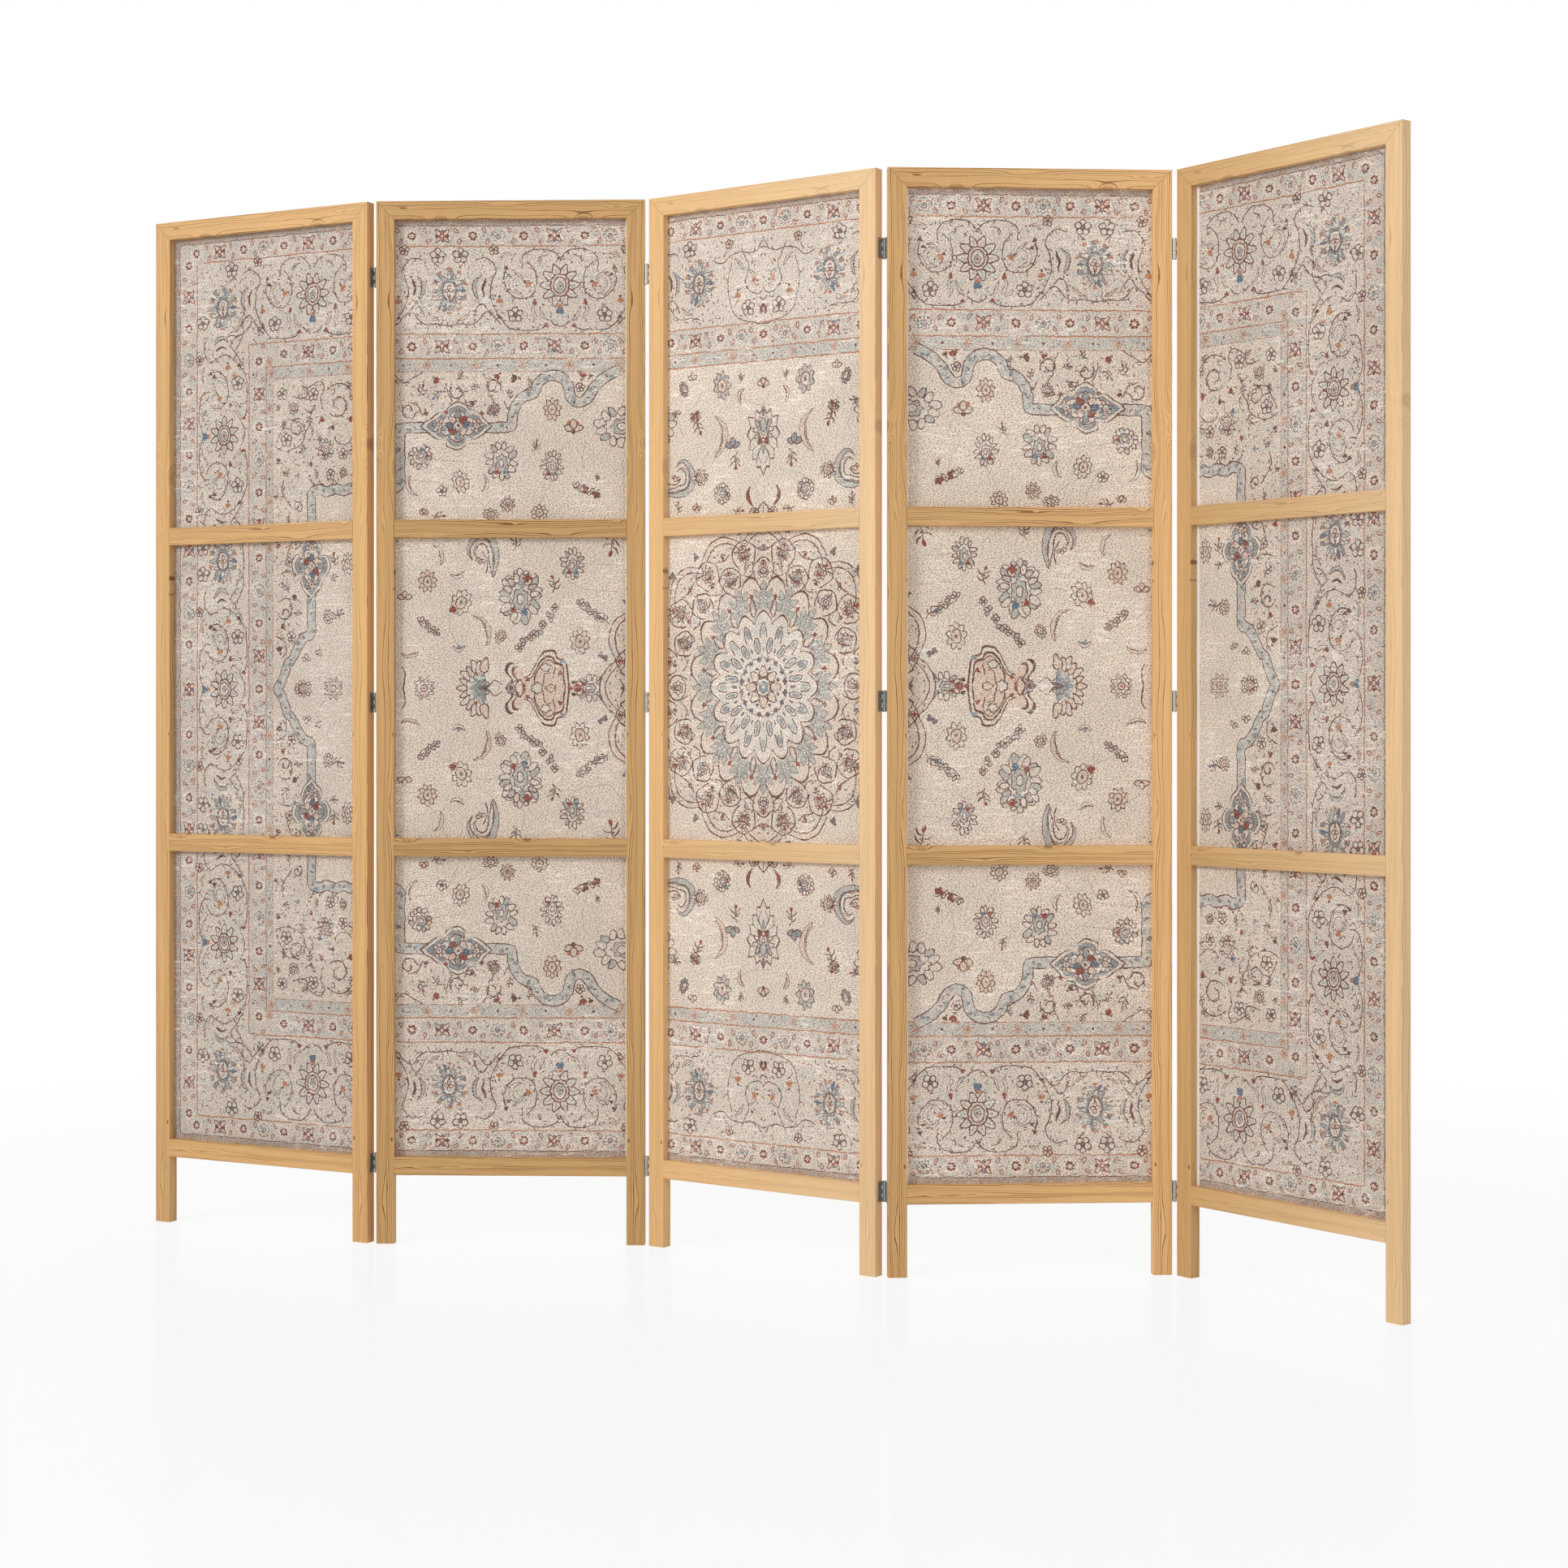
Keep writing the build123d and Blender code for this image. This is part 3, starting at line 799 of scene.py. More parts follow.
    def thicket(self, u0, u1, v0, v1, pitch, share, inks):
        """Hooks scattered over a box, about one in every square of the pitch, share of them left in."""
        across, down = int((u1 - u0) / pitch), int((v1 - v0) / pitch)
        for i in range(across):
            for k in range(down):
                stir = noise.noise_vector(Vector((i * 1.37 + u0, k * 1.71 + v0, 9.0)))
                pick = int(abs(stir.x * 31.0 + stir.y * 17.0) * 7.0)
                if pick % 100 >= share * 100:
                    continue
                u = u0 + (i + 0.5 + stir.x * 0.8) * pitch
                v = v0 + (k + 0.5 + stir.y * 0.8) * pitch
                turn = stir.z * 720.0
                self.hook(u, v, pitch * 0.75, turn, inks[pick % len(inks)])
                if pick % 3 == 0:
                    self.hook(u, v, pitch * 0.6, turn + 130.0, inks[(pick + 1) % len(inks)])

    def coil(self, u, v, r, turns=1.2, start=0.0, hand=1, width=2.1):
        """A spiral from its rim inwards."""
        count = max(8, int(r * turns * 1.5))
        pts = []
        for k in range(count + 1):
            s = k / count
            a = math.radians(start) + hand * math.tau * turns * s
            pts.append(Vector(away(u, v, a, r, share=1 - 0.72 * s)))
        self.vine(pts[::3] + pts[-1:], width)

    # Bands

    def guard_ring(self, u, v):
        """A ring of dots on a pale round."""
        self.patch(u, v, 13.0, 12.5, "roundel")
        for k in range(7):
            self.patch(*away(u, v, math.tau * k / 7, 5.4), 2.5, 2.2, "maroon" if k % 2 else "rust")
        self.patch(u, v, 3.0, 3.0, "peach")

    def guard_cross(self, u, v, turn=0.0):
        """Four petals and four dots crosswise on a pale round."""
        self.patch(u, v, 16.0, 13.5, "roundel", turn=turn)
        for k in range(4):
            lean = turn + 45 + 90 * k
            spot = away(u, v, math.radians(lean), 9.2, 8.4)
            self.ringed(*spot, 3.4, 6.0, "peach", "rust", line=1.9, turn=lean, lobes=3, depth=0.12)
        for k in range(4):
            spot = away(u, v, math.radians(turn + 90 * k), 8.5)
            self.patch(*spot, 2.5, 2.5, "deep_blue" if k % 2 == 0 else "maroon")
        self.ringed(u, v, 3.4, 3.4, "pale", "rust", line=1.6)

    def guard_lotus(self, u, v, turn=0.0):
        """A toothed lotus with five petals on its upper side."""
        self.patch(u, v, 15.0, 14.0, "roundel", turn=turn)
        self.ringed(u, v, 10.5, 10.0, "pale", "slate", line=1.5, lobes=9, depth=0.18, turn=turn, sharp=True)
        for k in range(5):
            lean = turn - 80 + 40 * k
            spot = away(u, v, math.radians(lean), 9.5)
            self.patch(*spot, 1.9, 3.4, "orange" if k % 2 else "blue", turn=lean)
        self.ringed(u, v + 1.0, 4.6, 4.2, "teal", "slate", line=1.5)
        self.patch(u, v, 1.7, 1.7, "rust")

    def guard_almond(self, u, v, turn):
        """A small almond between two guard flowers."""
        self.ringed(u, v, 2.4, 4.8, "peach", "rust", line=1.4, turn=turn)

    def guard_run(self, place, marks, side):
        """One line of guard flowers, with a pair of almonds between each two."""
        for mark, kind in marks:
            u, v = place(mark)
            if kind == "ring":
                self.guard_ring(u, v)
            elif kind == "cross":
                self.guard_cross(u, v, side)
            else:
                self.guard_lotus(u, v, side)
        du, dv = (3.0, 9.0) if side == 0 else (9.0, 3.0)
        for (a, _), (b, _) in zip(marks, marks[1:]):
            u, v = place((a + b) / 2)
            lean = 25.0 if a < b else -25.0
            self.guard_almond(u + du, v + dv, side + lean)
            self.guard_almond(u - du, v - dv, side - lean)

    def guards(self):
        """The flowers of both guard stripes and of the small band, for the upper left quarter."""
        flecks = ("teal", "slate", "peach", "teal", "orange", "stem", "rust")
        for v0, v1 in ((42.0, 71.0), (221.0, 256.0), (262.0, 279.0)):
            self.thicket(-760.0, 36.0, v0, v1, 8.5, 0.5, flecks)
        for u0, u1 in ((-963.0, -931.0), (-815.0, -783.0), (-779.0, -769.0)):
            self.thicket(u0, u1, 262.0, 812.0, 8.5, 0.5, flecks)
        rows = []
        for k in range(-6, 1):
            rows += [(186.0 * k - 135.5, "cross"), (186.0 * k - 85.0, "ring"), (186.0 * k - 42.5, "lotus"),
                     (186.0 * k, "ring"), (186.0 * k + 50.5, "cross")]
        rows = sorted(set(rows))
        top = [m for m in rows if -935.0 < m[0] < 60.0]
        low = [m for m in rows if -778.0 < m[0] < 60.0]
        self.guard_run(lambda m: (m, 56.0), top, 0.0)
        self.guard_run(lambda m: (m, 238.5), low, 0.0)
        cycle = ("ring", "cross", "ring", "lotus")
        outer = [(75.0 + 54.3 * k, cycle[k % 4]) for k in range(13)] + [(RUG_MIDDLE, "cross")]
        inner = [(RUG_MIDDLE - 55.5 * k, cycle[k % 4]) for k in range(11, -1, -1)]
        self.guard_run(lambda m: (-946.0, m), outer, 90.0)
        self.guard_run(lambda m: (-796.0, m), inner, 90.0)
        for k in range(11):
            self.band_star(-19.5 - 79.0 * k - 39.5, 270.0)
            self.band_mark(-19.5 - 79.0 * k, 270.0)
        for k in range(8):
            self.band_star(-774.0, RUG_MIDDLE - 79.0 * k)
            self.band_mark(-774.0, RUG_MIDDLE - 39.5 - 79.0 * k)
        for k in range(24):
            self.stroke([Vector((-20.0 - 32.0 * k, 263.0)), Vector((-34.0 - 32.0 * k, 277.0))], 1.6, "stem")
            self.stroke([Vector((-780.0, 292.0 + 22.0 * k)), Vector((-768.0, 304.0 + 22.0 * k))], 1.6, "stem")

    def band_star(self, u, v):
        """An eight-pointed star of the small band."""
        self.patch(u, v, 7.5, 7.5, "peach", lobes=8, depth=0.25, sharp=True)
        self.spokes(u, v, 7.5, 7.5, 8, 0.3, 1.0, "orange", width=1.3)
        self.patch(u, v, 1.6, 1.6, "rust")

    def band_mark(self, u, v):
        """A dot on a pale round, between two stars."""
        self.patch(u, v, 6.5, 5.5, "pale")
        self.patch(u, v, 2.2, 2.2, "maroon")

    def bands(self):
        """Grounds and lines of the border stripes."""
        self.ground(-1010.0, END_U, 10.0, RUG_MIDDLE + END_U, "edge")
        for left, top, name in STRIPES:
            self.ground(left, END_U, top, END_V, name)
        lines = [(-965.0, 39.5, 1.2, "maroon")] + [(left, top, 2.0, "orange") for left, top, _ in STRIPES[1:]]
        for u, v, width, ink in lines:
            down = smooth([(u, END_V), (u, (END_V + v) / 2), (u, v)])
            self.stroke(down + smooth([(u, v), (u / 2, v), (END_U, v)]), width, ink)

    # Main border

    def blue_flower(self, u, v, turn=0.0):
        """An oval flower in two wreaths of blue leaves, with orange buds between their tips."""
        for k in range(10):
            lean = turn + 36 * k
            self.bud(*away(u, v, math.radians(lean), 25.0, 34.0), 5.0, lean, "orange", "rust")
        outer = ("blue", "pale", "teal", "deep_blue")
        self.wreath(u, v, 20.0, 28.0, 14, (3.4, 8.0), outer, turn, "slate", 1.2)
        self.wreath(u, v, 15.0, 21.0, 12, (3.6, 6.5), ("teal", "pale"), turn + 12, "slate", 1.2)
        self.ringed(u, v, 13.0, 19.0, "blue", "slate", line=1.4, lobes=12, depth=0.06)
        self.ringed(u, v + 1, 10.5, 15.5, "pale", turn=turn)
        for k in range(4):
            lean = turn + 90 * k
            self.ringed(*away(u, v + 1, math.radians(lean), 4.2, 6.2), 2.8, 4.0, "peach", line=1.3, turn=lean)
        self.patch(u, v + 12, 1.6, 5.0, "maroon")

    def great_palmette(self, u, v, turn=0.0, size=1.0):
        """The large oval palmette of the main border."""
        for k in range(10):
            lean = turn + 36 * k + 18
            spot = away(u, v, math.radians(lean), 22.0, 25.0, size)
            self.ringed(*spot, 6.4 * size, 10.0 * size, "pale", line=2.1, turn=lean, lobes=3, depth=0.14)
            self.patch(*spot, 1.8, 4.0, "teal", turn=lean)
        self.ringed(u, v, 15.5 * size, 18.5 * size, "peach", line=2.4, lobes=12, depth=0.05)
        self.ringed(u, v, 10.5 * size, 13.0 * size, "pale", line=2.0)
        self.ringed(u, v + 2, 5.2 * size, 7.0 * size, "teal", "slate", line=1.6, lobes=5, depth=0.12)
        self.patch(u, v + 2, 1.8, 2.4, "rust")
        a = math.radians(turn)
        self.patch(*away(u, v, a, -41.0), 6.5, 7.5, "deep_blue", lobes=3, depth=0.25, turn=turn)
        self.patch(*away(u, v, a, -34.0), 3.4, 4.2, "orange")
        self.patch(*away(u, v, a, 19.0), 2.4, 2.4, "rust")

    def border_half(self, m):
        """Vines and small flowers from a blue flower to the next palmette. m places a point."""
        def run(pts, taper=0.0):
            self.vine([m(*p) for p in pts], taper=taper)

        run([(44, 96), (58, 92), (70, 98), (78, 112), (72, 128), (68, 148), (72, 168), (84, 190), (97, 206),
             (114, 212), (146, 212), (161, 205)])
        run([(96, 105), (91, 128), (98, 148), (116, 160), (136, 155), (145, 135), (141, 112), (129, 99)])
        run([(121, 110), (122, 92), (136, 81), (160, 78), (176, 85), (186, 98)])
        run([(163, 88), (152, 92), (146, 100)], taper=0.4)
        run([(168, 196), (176, 204), (186, 207)])
        run([(0, 205), (20, 201), (35, 203), (50, 195), (62, 180), (75, 190), (86, 202)])
        run([(64, 178), (56, 168), (46, 176), (40, 190)])
        run([(30, 92), (20, 106), (14, 108)], taper=0.5)
        self.leaf([m(54, 122), m(44, 132), m(43, 148), m(50, 162)], 7.0, "teal", teeth=1)
        self.leaf([m(62, 126), m(56, 142), m(59, 156)], 4.5)
        self.leaf([m(118, 120), m(104, 128), m(105, 146), m(122, 152)], 8.0)
        self.leaf([m(107, 116), m(118, 122), m(124, 132)], 5.0)
        self.bud(*m(129, 134), 8.0, 140.0)
        self.bud(*m(84, 160), 8.0, 180.0)
        self.leaf([m(143, 164), m(139, 178), m(143, 190), m(139, 200)], 6.0, "pale")
        self.patch(*m(142, 166), 3.4, 5.0, "rust", lobes=3, depth=0.2)
        self.leaf([m(150, 172), m(156, 190), m(166, 196)], 5.0)
        self.flower(*m(110, 187), 13.0)
        self.flower(*m(19, 89), 13.0)
        self.flower(*m(74, 79), 8.5, inner="peach")
        self.patch(*m(99, 121), 4.2, 3.0, "maroon", lobes=3, depth=0.3)
        self.patch(*m(95, 110), 3.6, 3.0, "maroon", lobes=3, depth=0.3)
        self.patch(*m(84, 191), 3.6, 3.0, "maroon", lobes=3, depth=0.3)
        self.patch(*m(161, 204), 4.4, 3.0, "rust", lobes=3, depth=0.3)
        self.leaf([m(104, 88), m(92, 86), m(84, 94)], 5.0, "peach")
        self.leaf([m(36, 182), m(26, 192), m(14, 196)], 5.0, "peach")

    def border(self):
        """The main border of the upper left quarter."""
        hooks = ("maroon", "slate", "maroon", "rust", "teal", "maroon", "blue", "peach")
        self.thicket(-924.0, 36.0, 80.0, 214.0, 12.0, 0.55, hooks)
        self.thicket(-924.0, -822.0, 214.0, 812.0, 12.0, 0.55, hooks)
        for blue, palm in ((-128.0, -312.0), (-496.0, -312.0), (-496.0, -684.0), (-873.0, -684.0)):
            hand = 1.0 if palm > blue else -1.0
            self.border_half(lambda t, c, blue=blue, hand=hand: (blue + hand * t, c))
        for blue, palm in ((154.0, 370.0), (584.0, 370.0), (584.0, RUG_MIDDLE)):
            reach = (palm - blue) / 185.0
            self.border_half(lambda t, c, blue=blue, reach=reach: (-928.0 + (c - 73.0) * 0.76,
                                                                   blue + reach * t))
        for u, v in ((-128.0, 146.0), (-496.0, 146.0), (-873.0, 152.0), (-873.0, 584.0)):
            self.blue_flower(u, v)
        for u, v in ((-312.0, 138.0), (-684.0, 142.0)):
            self.great_palmette(u, v, 0.0)
        self.great_palmette(-870.0, 370.0, 90.0, 0.9)
        self.great_palmette(-870.0, RUG_MIDDLE, 90.0, 0.9)
        self.middle_spirals()

    def middle_spirals(self):
        """The pair of spirals at the middle of the top border, left one only and what is on the axis."""
        self.path([(-62, 118), (-70, 150), (-66, 180), (-55, 204), (-30, 216), (0, 221), (30, 216)])
        self.path([(-12, 104), (0, 88), (12, 104)])
        self.path([(-98, 112), (-82, 118), (-64, 106), (-44, 103), (-22, 106), (0, 98)])
        self.path([(-44, 96), (-36, 112), (-28, 128), (-36, 150), (-28, 166), (-10, 172), (0, 164)])
        self.path([(-8, 176), (0, 182), (8, 176)])
        self.leaf([(-30, 132), (-18, 142), (-20, 158), (-8, 158)], 7.0)
        self.leaf([(-58, 112), (-46, 120), (-40, 134)], 6.0, "peach")
        self.bud(-15.0, 150.0, 8.0, -60.0)
        self.bud(-50.0, 168.0, 8.0, 180.0)
        self.flower(-30.0, 194.0, 13.0)
        self.patch(-4.0, 200.0, 2.6, 7.0, "maroon")
        self.patch(0.0, 192.0, 3.2, 4.0, "rust")
        self.path([(0, 205), (-4, 196), (-12, 190)], taper=0.5)
        self.flower(-68.0, 88.0, 8.0, inner="peach")
        self.patch(-22.0, 122.0, 2.4, 3.4, "rust")

    # Bracket, its two cartouches and what fills the corner

    def bracket(self):
        """The blue ribbon that frames the corner of the field, with two cartouches on it."""
        arm = smooth([(-216, 279), (-228, 285), (-242, 294), (-254, 306), (-263, 321), (-275, 331),
                      (-288, 330),
                      (-296, 318), (-299, 303), (-308, 292), (-322, 287), (-337, 290), (-349, 301),
                      (-356, 316),
                      (-372, 322), (-384, 334), (-390, 352), (-391, 366)])
        tail = [(-391, 366), (-394, 373), (-578, 373), (-578, 466)]
        scallops = smooth([(-578, 466), (-590, 474), (-605, 470), (-620, 474), (-638, 471), (-655, 475),
                           (-672, 470),
                           (-687, 476)])
        side = [(-687, 476), (-687, 713)]
        low = smooth([(-687, 713), (-702, 718), (-716, 736), (-728, 755), (-736, 762), (-742, 776),
                      (-748, 790),
                      (-757, RUG_MIDDLE), (-757, 812)])
        whole = arm + [Vector(p) for p in tail] + scallops + [Vector(p) for p in side] + low
        dense = []
        for a, b in zip(whole, whole[1:]):
            count = max(1, int((b - a).length / 5.0))
            dense += [a.lerp(b, k / count) for k in range(count)]
        self.stroke(dense, 18.5, "maroon")
        self.stroke(dense, 15.0, "bracket")
        for k in range(2, len(dense) - 2, 2):
            p = dense[k]
            side_way = dense[k + 1] - p
            lean = math.degrees(math.atan2(side_way.x, -side_way.y))
            hand = Vector((-side_way.y, side_way.x)).normalized() * (3.6 if k % 4 else -3.6)
            paint = ("teal", "pale", "blue", "teal", "pale")[k // 2 % 5]
            self.patch(p.x + hand.x, p.y + hand.y, 3.2, 4.6, paint, turn=lean + 25, lobes=3, depth=0.12)
            if k % 6 == 0:
                self.patch(p.x, p.y, 1.6, 3.4, "slate", turn=lean + 60)
        self.cartouche(-481.5, 370.0, 0.0)
        self.cartouche(-687.0, 598.0, 90.0)

    def cartouche(self, u, v, turn):
        """A chain of a lobed heart and two round lobes with pointed ends."""
        t = math.radians(turn)

        def at(x, y):
            return rolled(u, v, t, x, y)

        rim = smooth([(58, 0), (48, -8), (40, -18), (28, -22), (17, -19), (17, -32), (0, -40), (-17, -32),
                      (-18, -19),
                      (-32, -23), (-44, -14), (-54, -8), (-63, 1)])
        rim += [Vector((p.x - 3.0 * (1 - abs(p.x) / 60), -p.y)) for p in smooth([(-63, -1), (-54, -9),
                                                                                 (-44, -16),
                (-32, -23), (-16, -20), (-18, -32), (0, -41), (16, -33), (16, -19), (28, -23), (42, -16),
                (52, -7)])]
        for grow, ink in ((1.0, "maroon"), (0.95, "pale"), (0.84, "slate"), (0.80, "blue"), (0.66, "maroon"),
                          (0.61, "pale")):
            self.fill([at(p.x * grow, p.y * grow) for p in rim], ink)
        for x, y, paint in ((0, -19, "blue"), (-14, -1, "deep_blue"), (15, -3, "deep_blue"), (0, 17, "blue"),
                            (-9, -10, "peach"), (9, 9, "peach"), (-9, 9, "rust"), (9, -10, "rust")):
            self.ringed(*at(x, y), 5.4, 6.8, paint, "maroon", line=1.4, turn=turn + x * 6, lobes=3,
                        depth=0.14)
        self.ringed(*at(0, -1), 6.5, 6.5, "pale", "maroon", line=1.5, lobes=4, depth=0.2)
        self.patch(*at(0, -1), 2.4, 2.4, "rust")
        for x in (-31.0, 31.0):
            self.wreath(*at(x, 0), 8.0, 8.0, 7, (3.0, 4.2), ("peach", "pale", "blue"), turn, "maroon", 1.3)
            self.ringed(*at(x, 0), 5.0, 5.0, "pale", "maroon", line=1.4)
            self.patch(*at(x, 0), 1.9, 1.9, "rust")

    def spandrel(self):
        """Scrolls and small flowers between the border and the bracket."""
        rim = smooth([(-216, 281), (-242, 294), (-263, 321), (-284, 330), (-299, 303), (-322, 287),
                      (-349, 301),
                      (-356, 316), (-384, 334), (-391, 366), (-394, 373), (-578, 373)])
        corner = [Vector(p) for p in ((-578, 470), (-687, 476), (-687, 713), (-728, 755), (-757, RUG_MIDDLE),
                                      (-757, 860),
                                      (-766.5, 860), (-766.5, 281))]
        self.fill(list(rim) + corner, "spandrel", wobble=0.0)
        hooks = ("maroon", "rust", "maroon", "blue", "slate", "maroon", "peach")
        self.thicket(-762.0, -400.0, 286.0, 350.0, 11.0, 0.55, hooks)
        self.thicket(-762.0, -592.0, 350.0, 462.0, 11.0, 0.55, hooks)
        self.thicket(-762.0, -700.0, 462.0, 740.0, 11.0, 0.55, hooks)
        for u, v, r, kind in SPANDREL_FLOWERS:
            if kind == "flower":
                self.flower(u, v, r)
            elif kind == "daisy":
                self.daisy(u, v, r, r, petals=8)
            elif kind == "sprig":
                self.sprig(u, v, r, (u * 7 + v * 3) % 360)
            elif kind == "palmette":
                self.palmette(u, v, r, r * 1.15, (u * 5 + v) % 360, teeth=11)
            elif kind == "coil":
                self.coil(u, v, r, 1.1, (u * 3 + v) % 360, 1 if int(u) % 2 else -1)
            else:
                self.bud(u, v, r * 1.3, (u + v) % 360, kind, "slate")
        for points in SPANDREL_VINES:
            self.vine(points)

    # Field

    def motif(self, kind, u, v, w, h, turn, inner):
        """One loose flower or leaf of the field."""
        t = math.radians(turn)

        def at(x, y):
            return Vector(rolled(u, v, t, x * w, y * h))

        if kind == "daisy":
            self.daisy(u, v, w, h, 9, inner, "peach", turn=turn)
        elif kind == "flower":
            self.flower(u, v, w)
        elif kind == "star":
            self.ringed(u, v, w * 0.8, h * 0.8, inner, lobes=9, depth=0.2, sharp=True)
            self.ringed(u, v, w * 0.56, h * 0.56, "pale", lobes=8, depth=0.22, sharp=True)
            self.ringed(u, v, w * 0.3, h * 0.3, "peach", line=1.8)
            self.patch(u, v, 2.2, 2.2, "rust")
        elif kind == "palmette":
            self.palmette(u, v, w, h, turn, 13 if w > 15 else 9, "pale", inner)
        elif kind == "bud":
            self.bud(u, v, h * 0.8, turn, inner)
            self.trefoil(u, v + 2, h * 0.9, turn, "peach")
        elif kind == "trefoil":
            self.trefoil(u, v, h, turn, inner)
        elif kind == "sprig":
            self.sprig(u, v, max(w, h), turn)
            self.patch(u, v, 3.0, 2.4, "slate", lobes=3, depth=0.3)
        elif kind == "patch":
            self.patch(u, v, w, h, inner, lobes=3, depth=0.2, turn=turn)
        elif kind == "half":
            self.palmette(u, v, w, h, turn, 11, "pale", "peach")
        elif kind == "crescent":
            spine = [at(-0.5, 1.0), at(0.55, 0.45), at(0.65, -0.4), at(-0.5, -1.0)]
            self.leaf(spine, max(6.0, w * 0.62), inner, teeth=1, side=-1)
            if w > 11:
                self.path([at(-0.5, 0.8), at(0.2, 0.35), at(0.25, -0.4)], 1.6, "slate", taper=0.6)
        elif kind == "swag":
            self.path([at(-1, 0.2), at(-0.4, 0.7), at(0.3, 0.5), at(1, -0.4)], 1.7)
            for k, x in enumerate((-0.75, -0.2, 0.3, 0.8)):
                self.trefoil(*at(x, 0.1 * k), 7.5, turn + 60 * k, inner if k % 2 else "pale")
        elif kind == "garland":
            for k in range(7):
                s = k / 6
                p = at(0.85 - 1.7 * s, -0.95 + 1.9 * s ** 0.8)
                if k % 2:
                    self.trefoil(*p, 9.0, 60 * k, "teal")
                else:
                    self.flower(*p, 7.0, 4, "pale", "blue")
        elif kind == "saz":
            self.saz_leaf(at, inner)
        elif kind == "fan":
            self.fan(u, v, w, h, inner)
        elif kind == "saucer":
            self.path([at(-0.4, -1.0), at(0.1, -0.85), at(0.35, -0.5), at(0.1, 0.0), at(0.35, 0.5),
                       at(-0.4, 1.0)], 2.0)
        elif kind == "great":
            self.palmette(u, v, w, h, turn, 19, "pale", inner)
            for k in range(7):
                a = math.radians(turn - 75 + 25 * k)
                pu, pv = u + math.sin(a) * w * 0.72, v - math.cos(a) * h * 0.66
                self.ringed(pu, pv, 5.0, 8.0, "teal" if k % 2 else "pale", line=1.9, turn=math.degrees(a))
            self.patch(u + 11, v - 30, 7.0, 6.0, "rust", lobes=4, depth=0.3)
            self.patch(u + 2, v - 20, 5.0, 4.0, "blue", lobes=3, depth=0.3)
        elif kind == "axis":
            self.axis_palmette(u, v, w, h)
        elif kind == "crown":
            self.path([at(-1.1, 0.5), at(-0.9, -0.3), at(-0.45, -0.1), at(-0.3, 0.6)], 2.0)
            self.path([at(-0.5, 0.1), at(0, -0.9), at(0.5, 0.1)], 2.2)
            self.path([at(0, -0.9), at(0, 1.0)], 1.8, "slate")
            self.flower(u - w * 0.62, v + 3, 6.5)

    def saz_leaf(self, at, inner):
        """A great curled leaf with a feathered back."""
        for grow, width, ink in ((1.0, 12.0, inner), (0.62, 8.0, "pale")):
            spine = [at(0.55, 1.05), at(0.75 * grow, 0.2), at(0.45 * grow, -0.75 * grow),
                     at(-0.3 * grow, -0.85 * grow),
                     at(-0.8 * grow, -0.25 * grow), at(-0.55 * grow, 0.3 * grow)]
            self.leaf(spine, width, ink, teeth=1, side=-1, line=2.4)
        self.path([at(0.5, 0.95), at(0.62, 0.2), at(0.3, -0.55), at(-0.2, -0.6)], 1.7, "slate", taper=0.5)
        self.path([at(0.2, 0.9), at(0.25, 0.3), at(0.0, -0.1)], 2.0)
        self.trefoil(*at(-0.1, 0.25), 8.0, 200.0, "peach")

    def fan(self, u, v, w, h, inner):
        """A half lotus opened to the left, with a dark star at its foot."""
        for k in range(13):
            lean = -90 + (k - 6) * 17.0
            a = math.radians(lean)
            reach = 0.78 if k % 2 else 0.92
            pu, pv = u + 12 + math.sin(a) * w * reach * 0.72, v - math.cos(a) * h * reach * 0.9
            self.ringed(pu, pv, 6.5, 11.5, "pale" if k % 3 else "peach", line=2.0, turn=lean, lobes=3,
                        depth=0.16)
        self.ringed(u + 6, v, w * 0.42, h * 0.5, "pale", line=1.8, lobes=13, depth=0.14, sharp=True)
        for k in range(9):
            lean = -90 + (k - 4) * 24.0
            spot = away(u + 14, v, math.radians(lean), 14, 17)
            self.patch(*spot, 4.0, 7.5, inner if k % 2 else "blue", turn=lean)
        self.ringed(u + 14, v, 11.0, 12.0, "blue", "slate", line=2.2, lobes=8, depth=0.25, sharp=True)
        self.patch(u + 16, v, 6.0, 7.5, "violet", lobes=3, depth=0.2, turn=270)

    def axis_palmette(self, u, v, w, h):
        """The tall lotus on the middle axis, its point downwards."""
        right = [(0, -1.0), (0.2, -0.78), (0.42, -0.9), (0.55, -0.66), (0.92, -0.7), (0.8, -0.42),
                 (1.02, -0.2),
                 (0.8, -0.05), (0.86, 0.2), (0.62, 0.24), (0.66, 0.5), (0.42, 0.5), (0.4, 0.74), (0.2, 0.72),
                 (0, 1.0)]
        for grow, ink in ((1.0, "maroon"), (0.93, "pale")):
            half = [(x * w * grow, y * h * grow) for x, y in right]
            self.fill([(u + x, v + y) for x, y in half] + [(u - x, v + y) for x, y in half[-2:0:-1]], ink)
        veins = ((0.3, -0.3, 0.78, -0.4), (0.34, -0.1, 0.75, -0.05), (0.3, 0.12, 0.6, 0.25),
                 (0.2, 0.3, 0.4, 0.5))
        for x0, y0, x1, y1 in veins:
            for hand in (-1, 1):
                halfway = (u + hand * (x0 + x1) / 2 * w, v + (y0 + y1) / 2 * h - 3)
                self.path([(u + hand * x0 * w, v + y0 * h), halfway, (u + hand * x1 * w, v + y1 * h)], 1.7,
                          "slate")
        self.palmette(u, v - 16, w * 0.62, h * 0.42, 0.0, 11, "teal", "pale")
        self.patch(u, v - 48, 3.0, 9.0, "slate")
        self.ringed(u, v - 26, 6.0, 10.0, "teal", "slate", line=2.0)
        for hand in (-1, 1):
            self.patch(u + hand * 8, v + 2, 3.2, 3.0, "rust")
            self.path([(u + hand * 4, v + 8), (u + hand * 9, v + 22), (u + hand * 3, v + 36)], 1.8)
